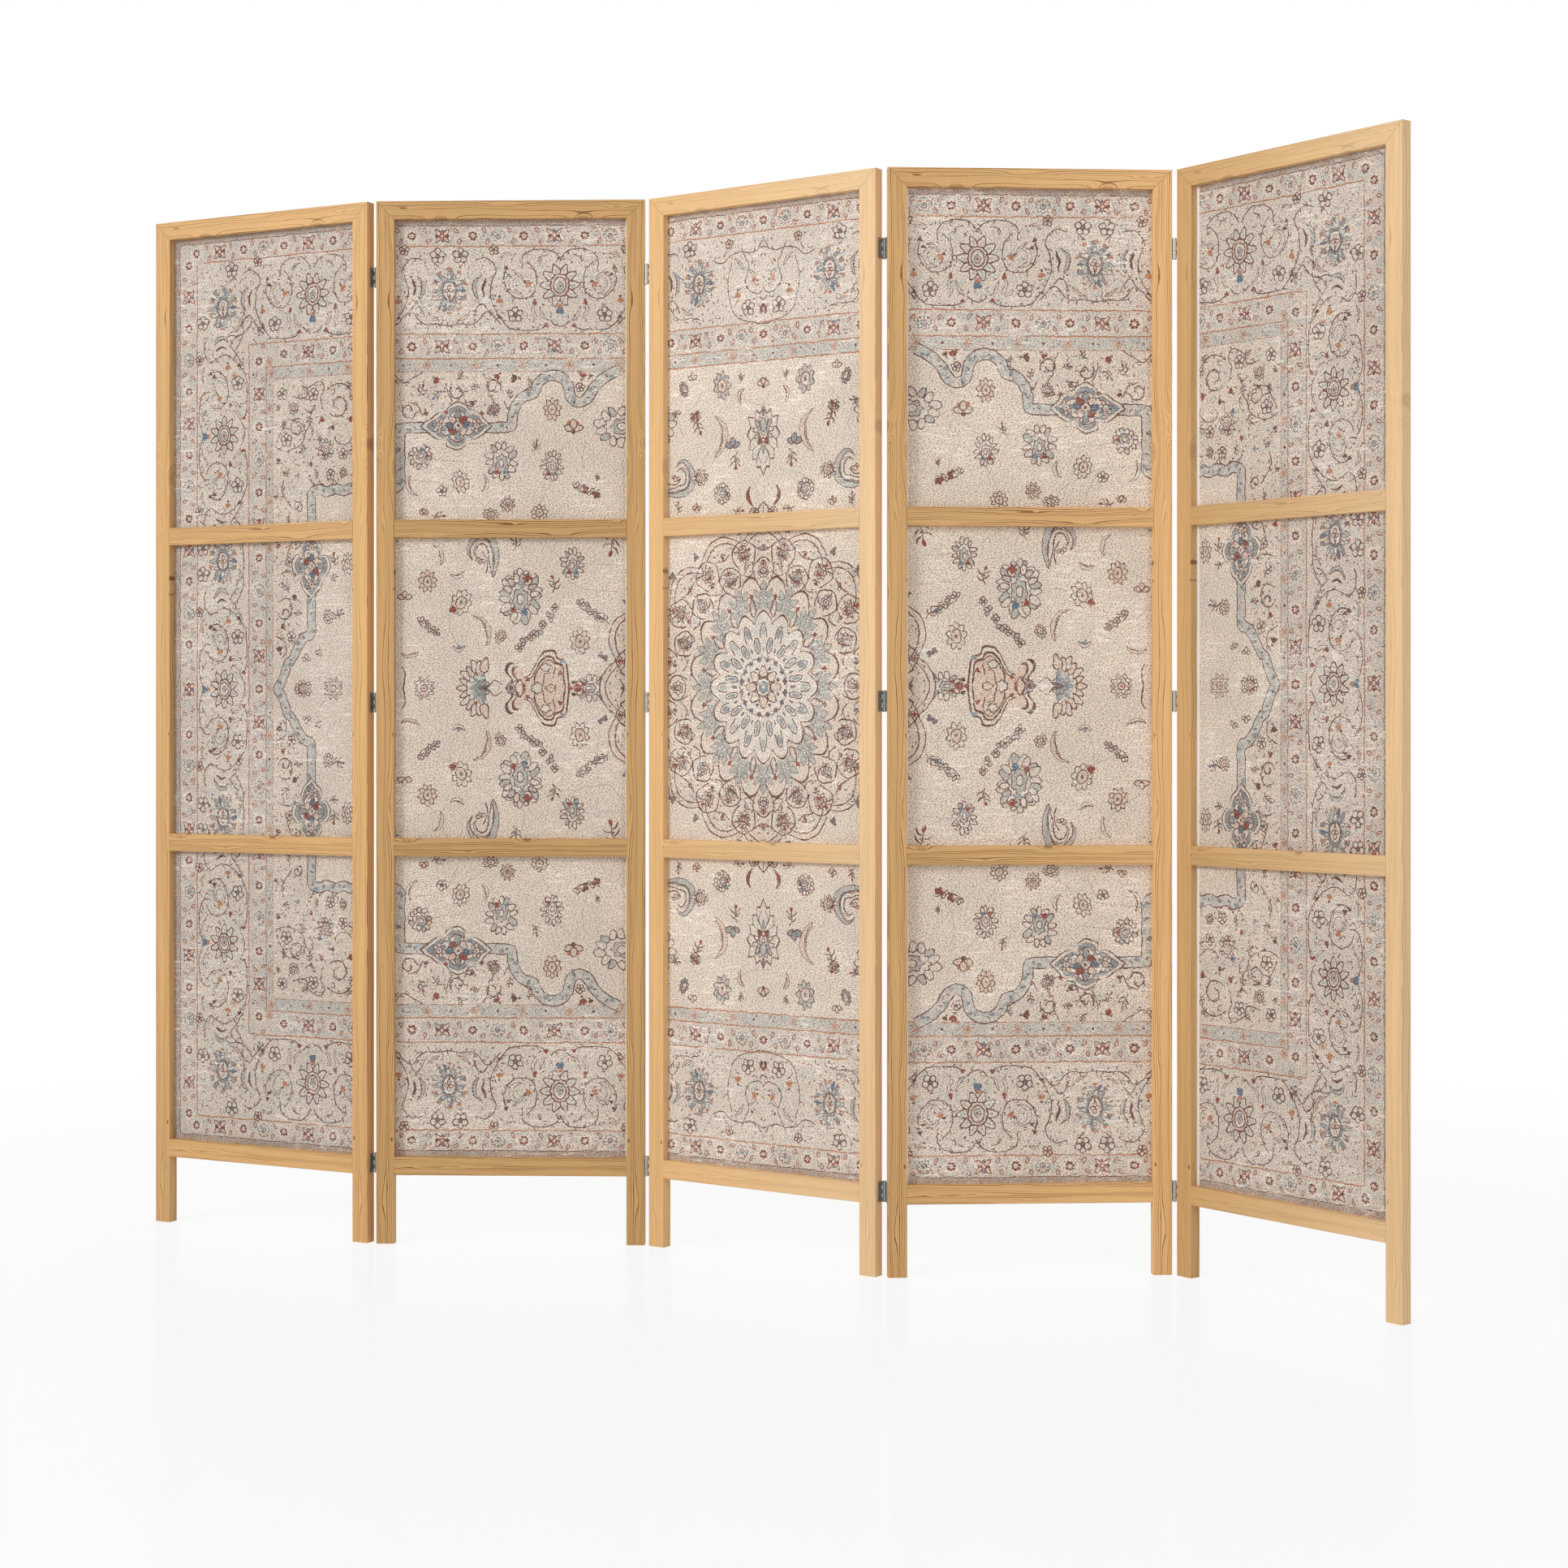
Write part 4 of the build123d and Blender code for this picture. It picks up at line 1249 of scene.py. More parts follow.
        self.patch(u, v + 14, 3.0, 7.0, "blue")
        self.ringed(u, v - 2, 4.0, 4.0, "pale", line=1.8)

    def pendant(self):
        """The shield between the medallion and the half lotus."""
        u = -338.0
        outer = smooth([(-404, RUG_MIDDLE), (-392, 790), (-402, 776), (-400, 762), (-388, 762), (-378, 784),
                        (-362, 780),
                        (-350, 757), (-338, 742), (-322, 739), (-316, 752), (-302, 757), (-298, 780),
                        (-296, RUG_MIDDLE)])
        mirror = [Vector((p.x, 2 * RUG_MIDDLE - p.y)) for p in outer[-2:0:-1]]
        for grow, ink in ((1.0, "maroon"), (0.93, "pale"), (0.84, "maroon"), (0.78, "peach")):
            ring = [(u + (p.x - u) * grow, RUG_MIDDLE + (p.y - RUG_MIDDLE) * grow) for p in outer + mirror]
            self.fill(ring, ink)
        for hand in (-1, 1):
            def at(x, y, hand=hand):
                return (x, RUG_MIDDLE + hand * y)

            self.path([at(-356, 0), at(-352, 22), at(-340, 42), at(-328, 46), at(-320, 34), at(-324, 18)],
                      2.0)
            self.path([at(-340, 8), at(-336, 24), at(-328, 24)], 1.8)
            self.ringed(*at(-336, 34), 8.0, 6.0, "pale", line=1.8, lobes=5, depth=0.12)
            self.patch(*at(-312, 24), 4.0, 3.6, "rust", lobes=3, depth=0.3)
            self.patch(*at(-306, 44), 5.0, 4.0, "blue", lobes=3, depth=0.3)
            self.patch(*at(-366, 14), 3.4, 3.0, "rust", lobes=3, depth=0.3)
            self.path([at(-408, 6), at(-420, 12), at(-428, 6), at(-436, 0)], 2.0)
            self.path([at(-392, 8), at(-378, 14), at(-372, 4)], 1.8)
            self.patch(*at(-290, 10), 4.0, 3.0, "maroon")
        self.ringed(-350, RUG_MIDDLE, 9.0, 10.0, "pale", line=1.9, lobes=6, depth=0.12)
        self.ringed(-328, RUG_MIDDLE, 8.0, 6.0, "peach", line=1.8, lobes=5, depth=0.12)
        self.ringed(-393, RUG_MIDDLE, 7.0, 9.0, "blue", line=1.9, lobes=7, depth=0.2, sharp=True)
        self.patch(-393, RUG_MIDDLE, 3.0, 4.0, "rust")
        self.patch(-372, RUG_MIDDLE, 3.0, 7.0, "rust")
        self.patch(-296, RUG_MIDDLE, 4.0, 3.0, "rust")

    def field(self):
        """The faint stems, the loose flowers and the pendant."""
        for points in FIELD_STEMS:
            self.path(points, 1.3, "stem")
        for row in FIELD_FLOWERS:
            self.motif(*row)
        self.pendant()

    # Medallion

    def around(self, a, r, tall=1.0):
        """The point a degrees from the medallion's top, r from its middle, tall times higher than wide."""
        t = math.radians(a)
        return Vector((math.sin(t) * r, RUG_MIDDLE - math.cos(t) * r * tall))

    def cusped(self, r, tall, lobes, depth, turn=0.0):
        """A closed line of arcs that meet in cusps."""
        step, pts = 1.5, []
        for k in range(int(360 / step)):
            a = k * step
            wave = abs(math.cos(math.radians((a - turn) * lobes / 2)))
            pts.append(self.around(a, r * (1.0 - depth + depth * 1.6 * wave ** 0.8), tall))
        return pts

    def medallion(self):
        """The round in the middle: its rim, hooks, two rings of arches and the star."""
        for r, ink in ((238.0, "maroon"), (236.0, "medallion")):
            self.fill(self.cusped(r, 1.05, 16, 0.07), ink)
        rim = self.cusped(226.0, 1.05, 16, 0.08)
        self.stroke(rim + rim[:1], 1.9)
        for k in range(16):
            a = 22.5 * k + 11.25
            self.patch(*self.around(a, 218.0, 1.05), 4.2, 4.2, "rust", lobes=4, depth=0.3)
            self.patch(*self.around(a, 243.0, 1.05), 5.0, 6.5, "slate", lobes=3, depth=0.3, turn=a)
        for a in (45.0, 135.0, 225.0, 315.0):
            p = self.around(a, 258.0, 1.0)
            for lean in (-40, 0, 40):
                q = self.around(a + lean * 0.12, 240.0, 1.0)
                self.leaf([p, (p + q) / 2 + Vector((lean * 0.12, 0)), q], 6.0, "pale")
            self.patch(*p, 7.0, 6.0, "slate", lobes=3, depth=0.3)
        inks = ("maroon", "rust", "maroon", "teal", "slate", "maroon")
        for ring in range(13):
            r = 104.0 + 10.5 * ring
            count = int(r * 0.45)
            for k in range(count):
                a = 360.0 / count * (k + 0.3 * (ring % 3))
                turn = a + (70.0 if (k + ring) % 2 else -110.0)
                spot = self.around(a, r, 1.12 if ring < 8 else 1.07)
                self.hook(*spot, 8.0, turn, inks[(k + ring) % len(inks)])
        self.arches(199.0, 16, 21.0, 11.25, "peach")
        self.arches(171.0, 16, 19.0, 0.0, "pale")
        for k in range(32):
            a = 11.25 * k
            p = self.around(a, 186.0 + (7 if k % 2 else -5), 1.1)
            if k % 2:
                self.patch(*p, 3.2, 3.2, "rust", lobes=4, depth=0.3)
            else:
                self.sprig(*p, 7.0, a + 180)
            for arc in (((-5, 214, 1.06), (0, 206, 1.07), (4, 213, 1.06)),
                        ((-3, 163, 1.14), (1, 156, 1.16), (5, 164, 1.14))):
                self.path([self.around(a + lean, r, tall) for lean, r, tall in arc], 1.8)
        self.star()

    def arches(self, r, count, size, turn, inner):
        """A ring of flowers, each under a lobed arch."""
        for k in range(count):
            a = turn + 360.0 / count * k
            p = self.around(a, r, 1.09)
            rim = []
            for b in range(-150, 151, 15):
                q = math.radians(a + b)
                reach = size * (1.0 + 0.14 * abs(math.cos(math.radians(b * 2.4))))
                rim.append(Vector(away(*p, q, reach)))
            self.stroke(rim, 2.1)
            if k % 2:
                self.palmette(*p, size * 0.66, size * 0.7, a, 9, inner, "teal")
            else:
                self.daisy(*p, size * 0.58, size * 0.6, 7, inner, "teal")
            q = self.around(a + 180.0 / count, r + 9, 1.09)
            self.coil(*q, 7.0, 0.9, a + 90, 1 if k % 2 else -1, 1.9)
            self.patch(*q, 2.2, 2.2, "rust" if k % 3 else "deep_blue")

    def star(self):
        """The blue ring of arabesques, the lotus petals within and the rosette."""
        tall, gap = 1.22, 11.25
        self.fill(self.cusped(137.0, tall, 16, 0.14, gap), "maroon")
        self.fill(self.cusped(134.0, tall, 16, 0.14, gap), "medallion")
        for k in range(16):
            a = 22.5 * k
            p = self.around(a, 116.0, tall)
            self.patch(*p, 15.0, 17.0, "teal", lobes=5, depth=0.16, turn=a)
            for lean in (-60.0, -20.0, 20.0, 60.0, 140.0, 220.0):
                self.hook(*away(*p, math.radians(a + lean), 9.0), 7.0, a + lean, "maroon")
            for lean, far in ((-6.0, 124.0), (6.0, 124.0), (0.0, 134.0), (-7.5, 108.0), (7.5, 108.0)):
                self.ringed(*self.around(a + lean, far, tall), 5.4, 7.4, "teal",
                            "slate" if lean else "maroon",
                            line=1.1, lobes=3, depth=0.2, turn=a + lean * 6)
            self.flower(*p, 7.5, 5, "pale", "peach", "blue", turn=a)
            self.patch(*self.around(a + gap, 121.0, tall), 4.0, 4.0, "rust", lobes=4, depth=0.35, turn=a)
            tear = ((11.25, 119), (8, 105), (11.25, 94), (14.5, 105), (11.25, 119))
            self.path([self.around(a + lean, far, tall) for lean, far in tear], 1.9)
        for r, ink in ((99.0, "maroon"), (96.4, "pale_ground")):
            self.fill(self.cusped(r, 1.16, 16, 0.13), ink)
        for k in range(16):
            a = 22.5 * k
            self.patch(*self.around(a, 80.0, 1.14), 4.6, 8.0, "blue" if k % 2 else "teal", turn=a)
            arch = ((-5, 72, 1.1), (-3.5, 86, 1.12), (0, 92, 1.13), (3.5, 86, 1.12), (5, 72, 1.1))
            self.path([self.around(a + lean, r, high) for lean, r, high in arch], 1.8)
            p = self.around(a + gap, 64.0, 1.06)
            self.ringed(*p, 5.0, 12.5, "pale", line=1.9, turn=a + gap)
            self.patch(*p, 2.6, 8.0, "blue", turn=a + gap)
            self.patch(*self.around(a, 58.0, 1.05), 1.8, 5.0, "slate", turn=a)
        rim = self.cusped(45.0, 1.04, 16, 0.06)
        self.stroke(rim + rim[:1], 1.6, "violet")
        for k in range(16):
            spot = self.around(22.5 * k + gap, 43.0, 1.04)
            self.patch(*spot, 4.4, 4.0, "violet", lobes=4, depth=0.25, turn=22.5 * k)
        for k in range(8):
            a = 45.0 * k
            self.ringed(*self.around(a, 23.5), 7.4, 9.6, "peach", line=2.0, turn=a, lobes=3, depth=0.08)
            self.patch(*self.around(a + 22.5, 31.0), 2.6, 2.6, "violet")
        self.ringed(0, RUG_MIDDLE, 14.0, 14.0, "pale", line=2.2)
        self.ringed(0, RUG_MIDDLE, 8.5, 8.5, "blue", "slate", line=1.6, lobes=6, depth=0.1)
        self.patch(0, RUG_MIDDLE, 2.6, 2.6, "pale")


# Small flowers of the corner: u, v, size, and kind or the colour of a bud
SPANDREL_FLOWERS = (
    (-748, 307, 10, "flower"), (-683, 311, 11, "flower"), (-658, 403, 16, "palmette"),
    (-622, 413, 9, "flower"), (-622, 444, 8, "daisy"), (-724, 332, 10, "daisy"), (-739, 384, 12, "flower"),
    (-716, 366, 17, "coil"), (-690, 352, 10, "sprig"), (-668, 356, 6, "rust"), (-610, 355, 6, "rust"),
    (-646, 368, 5, "maroon"), (-672, 386, 5, "deep_blue"), (-690, 428, 4, "rust"), (-676, 445, 7, "sprig"),
    (-648, 446, 9, "flower"), (-668, 460, 6, "rust"), (-740, 440, 8, "sprig"), (-718, 446, 5, "blue"),
    (-716, 497, 11, "coil"), (-735, 520, 7, "sprig"), (-716, 560, 9, "coil"), (-733, 590, 8, "flower"),
    (-740, 632, 11, "sprig"), (-718, 652, 6, "maroon"), (-742, 676, 13, "coil"), (-714, 676, 8, "sprig"),
    (-728, 716, 9, "flower"), (-752, 740, 7, "maroon"), (-744, 700, 5, "rust"), (-632, 330, 22, "coil"),
    (-604, 320, 9, "sprig"), (-590, 296, 6, "maroon"), (-563, 344, 15, "coil"), (-542, 312, 11, "sprig"),
    (-516, 318, 10, "sprig"), (-520, 292, 6, "rust"), (-482, 314, 14, "coil"), (-478, 288, 8, "sprig"),
    (-452, 306, 8, "sprig"), (-455, 330, 6, "maroon"), (-424, 306, 15, "coil"), (-414, 286, 6, "rust"),
    (-422, 343, 10, "palmette"), (-395, 318, 9, "sprig"), (-384, 292, 7, "maroon"), (-362, 296, 7, "sprig"),
    (-275, 290, 7, "rust"), (-279, 307, 8, "flower"), (-262, 290, 5, "maroon"), (-600, 404, 10, "sprig"),
    (-596, 446, 8, "sprig"), (-600, 380, 5, "rust"), (-744, 355, 7, "sprig"), (-757, 420, 5, "maroon"),
    (-756, 560, 5, "rust"), (-700, 300, 8, "sprig"), (-756, 330, 6, "sprig"), (-704, 402, 9, "sprig"),
    (-760, 480, 6, "sprig"), (-440, 350, 4, "rust"), (-500, 344, 5, "rust"), (-535, 346, 5, "maroon"),
    (-610, 300, 7, "sprig"),
)
SPANDREL_VINES = (
    ((-726, 312), (-700, 316), (-692, 300), (-672, 289), (-660, 300), (-668, 318), (-662, 338)),
    ((-655, 305), (-640, 296), (-622, 296), (-606, 306), (-598, 322)),
    ((-762, 394), (-745, 402), (-722, 400), (-706, 390), (-700, 372), (-712, 356), (-736, 352), (-752, 362)),
    ((-760, 388), (-750, 370), (-740, 356)), ((-700, 334), (-688, 342), (-680, 330)),
    ((-690, 452), (-680, 466), (-664, 474), (-648, 466), (-640, 452)),
    ((-640, 456), (-628, 468), (-612, 470), (-598, 460)),
    ((-745, 452), (-748, 470), (-738, 486), (-728, 500)),
    ((-700, 372), (-688, 362), (-684, 376), (-692, 390)),
    ((-640, 386), (-630, 396), (-612, 396), (-604, 386)),
    ((-738, 540), (-728, 556), (-736, 574), (-742, 596)), ((-752, 610), (-732, 606), (-718, 614)),
    ((-752, 655), (-738, 652), (-728, 664), (-732, 684)),
    ((-760, 715), (-745, 722), (-738, 738), (-748, 752)), ((-565, 330), (-548, 336), (-540, 352)),
    ((-585, 286), (-572, 298), (-556, 290), (-540, 281)), ((-500, 300), (-498, 316), (-490, 330)),
    ((-470, 325), (-464, 340), (-452, 345)), ((-440, 284), (-432, 300), (-430, 318), (-420, 330)),
    ((-405, 330), (-398, 342), (-384, 334)), ((-300, 290), (-292, 302), (-290, 314)),
    ((-372, 312), (-360, 304), (-352, 292)),
)

# Loose flowers of the field: kind, u, v, width and height from the middle, turn, inner colour
FIELD_FLOWERS = (
    ("daisy", -613, 596, 12, 19, 0, "pale"), ("sprig", -640, 590, 12, 9, 0, "pale"),
    ("sprig", -642, 618, 9, 9, 90, "pale"), ("daisy", -652, 684, 13, 11, 90, "pale"),
    ("sprig", -632, 680, 12, 12, 90, "pale"), ("star", -642, RUG_MIDDLE, 21, 21, 0, "pale"),
    ("half", -704, RUG_MIDDLE, 15, 18, 90, "pale"), ("trefoil", -697, 755, 9, 9, 0, "pale"),
    ("trefoil", -673, 746, 8, 8, 20, "pale"), ("daisy", -325, 343, 15, 20, 0, "peach"),
    ("bud", -290, 375, 13, 17, 0, "orange"), ("palmette", -214, 372, 34, 40, 270, "teal"),
    ("sprig", -352, 404, 11, 11, 20, "pale"), ("palmette", -409, 428, 25, 33, 0, "teal"),
    ("palmette", -325, 436, 17, 26, 0, "pale"), ("palmette", -544, 421, 20, 21, 225, "teal"),
    ("daisy", -477, 462, 15, 20, 160, "pale"), ("flower", -508, 478, 9, 9, 0, "pale"),
    ("crescent", -437, 466, 6, 14, 10, "pale"), ("swag", -268, 475, 22, 9, 15, "rust"),
    ("star", -399, 500, 13, 15, 0, "peach"), ("daisy", -427, 516, 14, 10, 0, "pale"),
    ("daisy", -346, 514, 14, 14, 0, "pale"), ("sprig", -250, 456, 6, 6, 0, "pale"),
    ("crescent", -558, 470, 9, 18, 160, "pale"), ("bud", -538, 512, 8, 8, 0, "orange"),
    ("sprig", -515, 520, 12, 9, 90, "pale"), ("sprig", -386, 563, 13, 9, 0, "pale"),
    ("sprig", -224, 565, 20, 14, 200, "teal"), ("saz", -440, 582, 30, 36, 0, "teal"),
    ("crescent", -513, 582, 7, 18, 340, "pale"), ("palmette", -291, 598, 18, 27, 0, "teal"),
    ("daisy", -532, 627, 16, 19, 0, "peach"), ("great", -377, 652, 32, 46, 8, "teal"),
    ("daisy", -476, 662, 18, 23, 20, "pale"), ("patch", -490, 673, 6, 6, 0, "rust"),
    ("trefoil", -570, 655, 10, 12, 0, "peach"), ("sprig", -322, 632, 8, 14, 350, "pale"),
    ("crescent", -482, 615, 5, 12, 80, "pale"), ("swag", -264, 672, 22, 9, 30, "teal"),
    ("garland", -350, 704, 34, 34, 0, "teal"), ("swag", -530, 700, 20, 9, 30, "teal"),
    ("crescent", -440, 706, 12, 28, 335, "peach"), ("daisy", -411, 718, 9, 12, 20, "pale"),
    ("daisy", -279, 726, 17, 23, 0, "pale"), ("patch", -480, 736, 6, 4, 90, "blue"),
    ("crescent", -480, 736, 7, 10, 90, "pale"), ("crescent", -560, 746, 6, 16, 80, "peach"),
    ("star", -537, RUG_MIDDLE, 20, 21, 0, "pale"), ("saucer", -572, RUG_MIDDLE, 8, 36, 0, "pale"),
    ("fan", -455, RUG_MIDDLE, 42, 46, 270, "teal"), ("palmette", -262, RUG_MIDDLE, 21, 27, 90, "teal"),
    ("patch", -284, RUG_MIDDLE, 8, 6, 0, "rust"), ("patch", -245, 789, 4, 4, 0, "slate"),
    ("patch", -245, 749, 4, 4, 0, "slate"), ("sprig", -240, 690, 12, 10, 300, "pale"),
    ("sprig", -590, 560, 9, 9, 90, "pale"), ("bud", 0, 318, 9, 13, 0, "blue"),
    ("daisy", -82, 315, 18, 25, 170, "teal"), ("daisy", -159, 316, 9, 14, 340, "blue"),
    ("trefoil", -142, 300, 8, 9, 0, "pale"), ("palmette", -136, 362, 12, 10, 160, "rust"),
    ("sprig", -130, 378, 10, 14, 160, "pale"), ("crescent", -44, 335, 5, 14, 190, "peach"),
    ("crescent", -88, 397, 17, 34, 0, "peach"), ("axis", 0, 410, 33, 58, 0, "teal"),
    ("trefoil", -60, 415, 10, 14, 0, "blue"), ("sprig", -55, 438, 8, 14, 180, "pale"),
    ("saz", -168, 462, 36, 30, 90, "teal"), ("palmette", -126, 462, 14, 16, 90, "peach"),
    ("palmette", -82, 490, 18, 16, 250, "teal"), ("crescent", -26, 497, 6, 16, 170, "rust"),
    ("bud", -133, 508, 7, 9, 180, "orange"), ("sprig", -170, 510, 10, 10, 0, "pale"),
    ("crown", 0, 520, 26, 14, 0, "pale"), ("sprig", -50, 520, 10, 6, 90, "pale"),
    ("sprig", -44, 305, 8, 8, 0, "pale"), ("sprig", -176, 355, 9, 9, 90, "pale"),
)
FIELD_STEMS = (
    ((-600, 640), (-560, 630), (-520, 600), (-500, 560), (-480, 520), (-500, 470)),
    ((-470, 430), (-520, 425), (-560, 418)), ((-440, 400), (-470, 400), (-510, 410)),
    ((-560, 460), (-520, 462), (-490, 470)), ((-470, 480), (-440, 500), (-430, 520)),
    ((-325, 460), (-340, 490), (-346, 510)), ((-290, 390), (-310, 410), (-325, 415)),
    ((-250, 330), (-270, 345), (-290, 365)), ((-268, 395), (-275, 430), (-265, 470)),
    ((-380, 560), (-370, 590), (-377, 610)), ((-350, 560), (-320, 580), (-300, 610)),
    ((-245, 590), (-270, 600), (-300, 596), (-225, 600)), ((-455, 655), (-430, 652), (-410, 660)),
    ((-300, 625), (-270, 640), (-215, 645)), ((-490, 640), (-495, 700), (-484, 730)),
    ((-520, 690), (-500, 684), (-480, 680)), ((-600, 820), (-570, 835), (-500, 860)),
    ((-250, 680), (-250, 720), (-262, 740)), ((-120, 320), (-140, 345), (-160, 360)),
    ((-60, 330), (-30, 345), (0, 352)), ((-110, 420), (-120, 440), (-110, 470)),
    ((-60, 460), (-80, 470), (-100, 486)), ((-160, 395), (-175, 360), (-186, 365)),
    ((-560, 570), (-600, 560), (-640, 560)), ((-620, 640), (-600, 660), (-560, 700)),
    ((-690, 740), (-670, 770), (-655, 790)),
)


def draw_rug():
    """The upper left quarter of the print, with what crosses its axes."""
    rug = Rug()
    rug.bands()
    rug.spandrel()
    rug.guards()
    rug.border()
    rug.bracket()
    rug.field()
    rug.medallion()
    return rug.shapes


def quarter_mesh(shapes, low, high):
    """Triangles of the print between two corners of the quarter, each with its ground and ink."""
    (u0, v0), (u1, v1) = low, high
    points = [Vector((u0, v0)), Vector((u1, v0)), Vector((u1, v1)), Vector((u0, v1))]
    faces, names = [[0, 1, 2, 3]], ["field"]
    for a, b in (((u0, v0), (u1, CLOTH_THIRD_V)), ((u0, CLOTH_THIRD_V), (u1, v1))):
        faces.append(list(range(len(points), len(points) + 4)))
        points += [Vector(a), Vector((b[0], a[1])), Vector(b), Vector((a[0], b[1]))]
        names.append(None)
    for pts, name in shapes:
        us, vs = [p[0] for p in pts], [p[1] for p in pts]
        if max(us) < u0 or min(us) > u1 or max(vs) < v0 or min(vs) > v1:
            continue
        faces.append(list(range(len(points), len(points) + len(pts))))
        points += [Vector(p) for p in pts]
        names.append(name)
    verts, _, tris, _, _, origins = delaunay_2d_cdt(points, [], faces, 1, 1e-3)
    kept = []
    for tri, origin in zip(tris, origins):
        if 0 not in origin:
            continue
        ground, ink = "field", None
        for k in sorted(origin):
            name = names[k]
            if name in GROUNDS:
                ground, ink = name, None
            elif name:
                ink = name
        kept.append((tri, ground, ink))
    return verts, kept


def cloth_material(panel):
    """The printed front of one cloth: worn wool knots drawn in ink."""
    look = Look(f"rug_print_{panel}")
    x, _, z = look.split(look.object_point(panel))
    u = x + (panel - 3) * RUG_PITCH
    ink = look.node("ShaderNodeAttribute", out="Color", attribute_name="ink")
    strength = look.node("ShaderNodeAttribute", out="Alpha", attribute_name="ink")
    ground = look.node("ShaderNodeAttribute", out="Color", attribute_name="ground")
    mottle = look.node("ShaderNodeAttribute", out="Alpha", attribute_name="ground")
    printed = mottle.ramp(0.0, 0.1)
    slant = look.join(u * 0.37 + z * 0.11, z * 0.74, 0.0)
    knots = look.noise(slant, detail=2.0, rough=0.6)
    fluff = look.noise(look.join(u * 0.9, z * 1.3, 4.0), detail=2.0, rough=0.6)
    smoke = look.noise(look.join(u * 0.045, z * 0.06, 8.0), detail=4.0, rough=0.6)
    blush = look.noise(look.join(u * 0.03, z * 0.03, 12.0), detail=3.0, rough=0.6)
    age = look.noise(look.join(u * 0.006, z * 0.008, 16.0), detail=3.0, rough=0.55)
    scratch = look.noise(look.join(u * 0.035, z * 0.2, 20.0), detail=4.0, rough=0.7)
    colour = look.mix(mottle * smoke.ramp(0.44, 0.64), ground, srgb(204, 206, 202))
    colour = look.mix(mottle * blush.ramp(0.5, 0.66) * 0.6, colour, srgb(240, 214, 194))
    hue = look.noise(look.join(u * 0.07, z * 0.07, 24.0), detail=1.0)
    dyed = look.mix(hue.ramp(0.52, 0.62) * 0.4, ink, look.mix(0.5, ink, srgb(72, 72, 84)))
    dyed = look.mix(hue.ramp(0.38, 0.48, 0.35, 0.0), dyed, look.mix(0.5, ink, srgb(170, 72, 44)))
    rubbed = (fluff * 0.4 + knots * 0.6).ramp(0.52, 0.64) * (0.3 + age * 0.7)
    colour = look.mix(strength * (1.0 - rubbed * 0.7), colour, dyed)
    bald = scratch.ramp(0.53, 0.64) * age.ramp(0.40, 0.60) * printed
    colour = look.mix(bald * 0.55, colour, srgb(250, 245, 238))
    relief = (knots * 0.8 + fluff * 0.2).ramp(0.37, 0.54)
    pit = look.mix(mottle * 0.35, look.shade(colour, 0.22), srgb(124, 117, 110))
    crest = look.shade(colour, 1.0 + age.ramp(0.4, 0.65) * 0.08)
    colour = look.mix((relief * printed + (1.0 - printed) + bald * 0.45).clamp(), pit, crest)
    # Painted light: each cloth made lighter or darker for how the lamps fall on its panel
    colour = look.shade(colour, PAINTED_CLOTH_LIGHT[panel - 1])
    look.finish(Base_Color=colour, Roughness=0.86, Specular_IOR_Level=0.15)
    look.finish(Normal=look.bump(relief, 0.35, 0.0005))
    return look.material


def back_material(panel):
    """The bare back of the cloth: white bonded fibres."""
    look = Look(f"cloth_back_{panel}")
    x, _, z = look.split(look.object_point(panel))
    fibres = look.noise(look.join(x * 0.9, z * 0.5, 0.0), detail=4.0, rough=0.7)
    cloud = look.noise(look.join(x * 0.03, z * 0.02, 0.0), detail=3.0)
    colour = look.mix(fibres.ramp(0.3, 0.7), srgb(238, 236, 230), srgb(222, 219, 212))
    colour = look.shade(colour, 0.94 + cloud * 0.1)
    look.finish(Base_Color=colour, Roughness=0.85, Normal=look.bump(fibres, 0.25, 0.0004))
    look.finish(Specular_IOR_Level=0.2)
    return look.material


CLOTH_TOP_V = SCREEN_HEIGHT - CLOTH_HIGH
CLOTH_THIRD_V = CLOTH_TOP_V + CLOTH_THIRD
# Unprinted strip that shows beside the right stile of a panel and the left one of its twin
MARGINS = {1: 6.0, 2: 2.6}
# Rim left free round each cell of the map, how far the thin sides stand out there, and edge tolerance
MAP_RIM = 0.006
SIDE_RISE = 0.004
ON_EDGE = 0.005


def rug_u(panel, x):
    """Where a cloth point lies along the rug."""
    return (panel - 3) * RUG_PITCH + x - CLOTH_MIDDLE


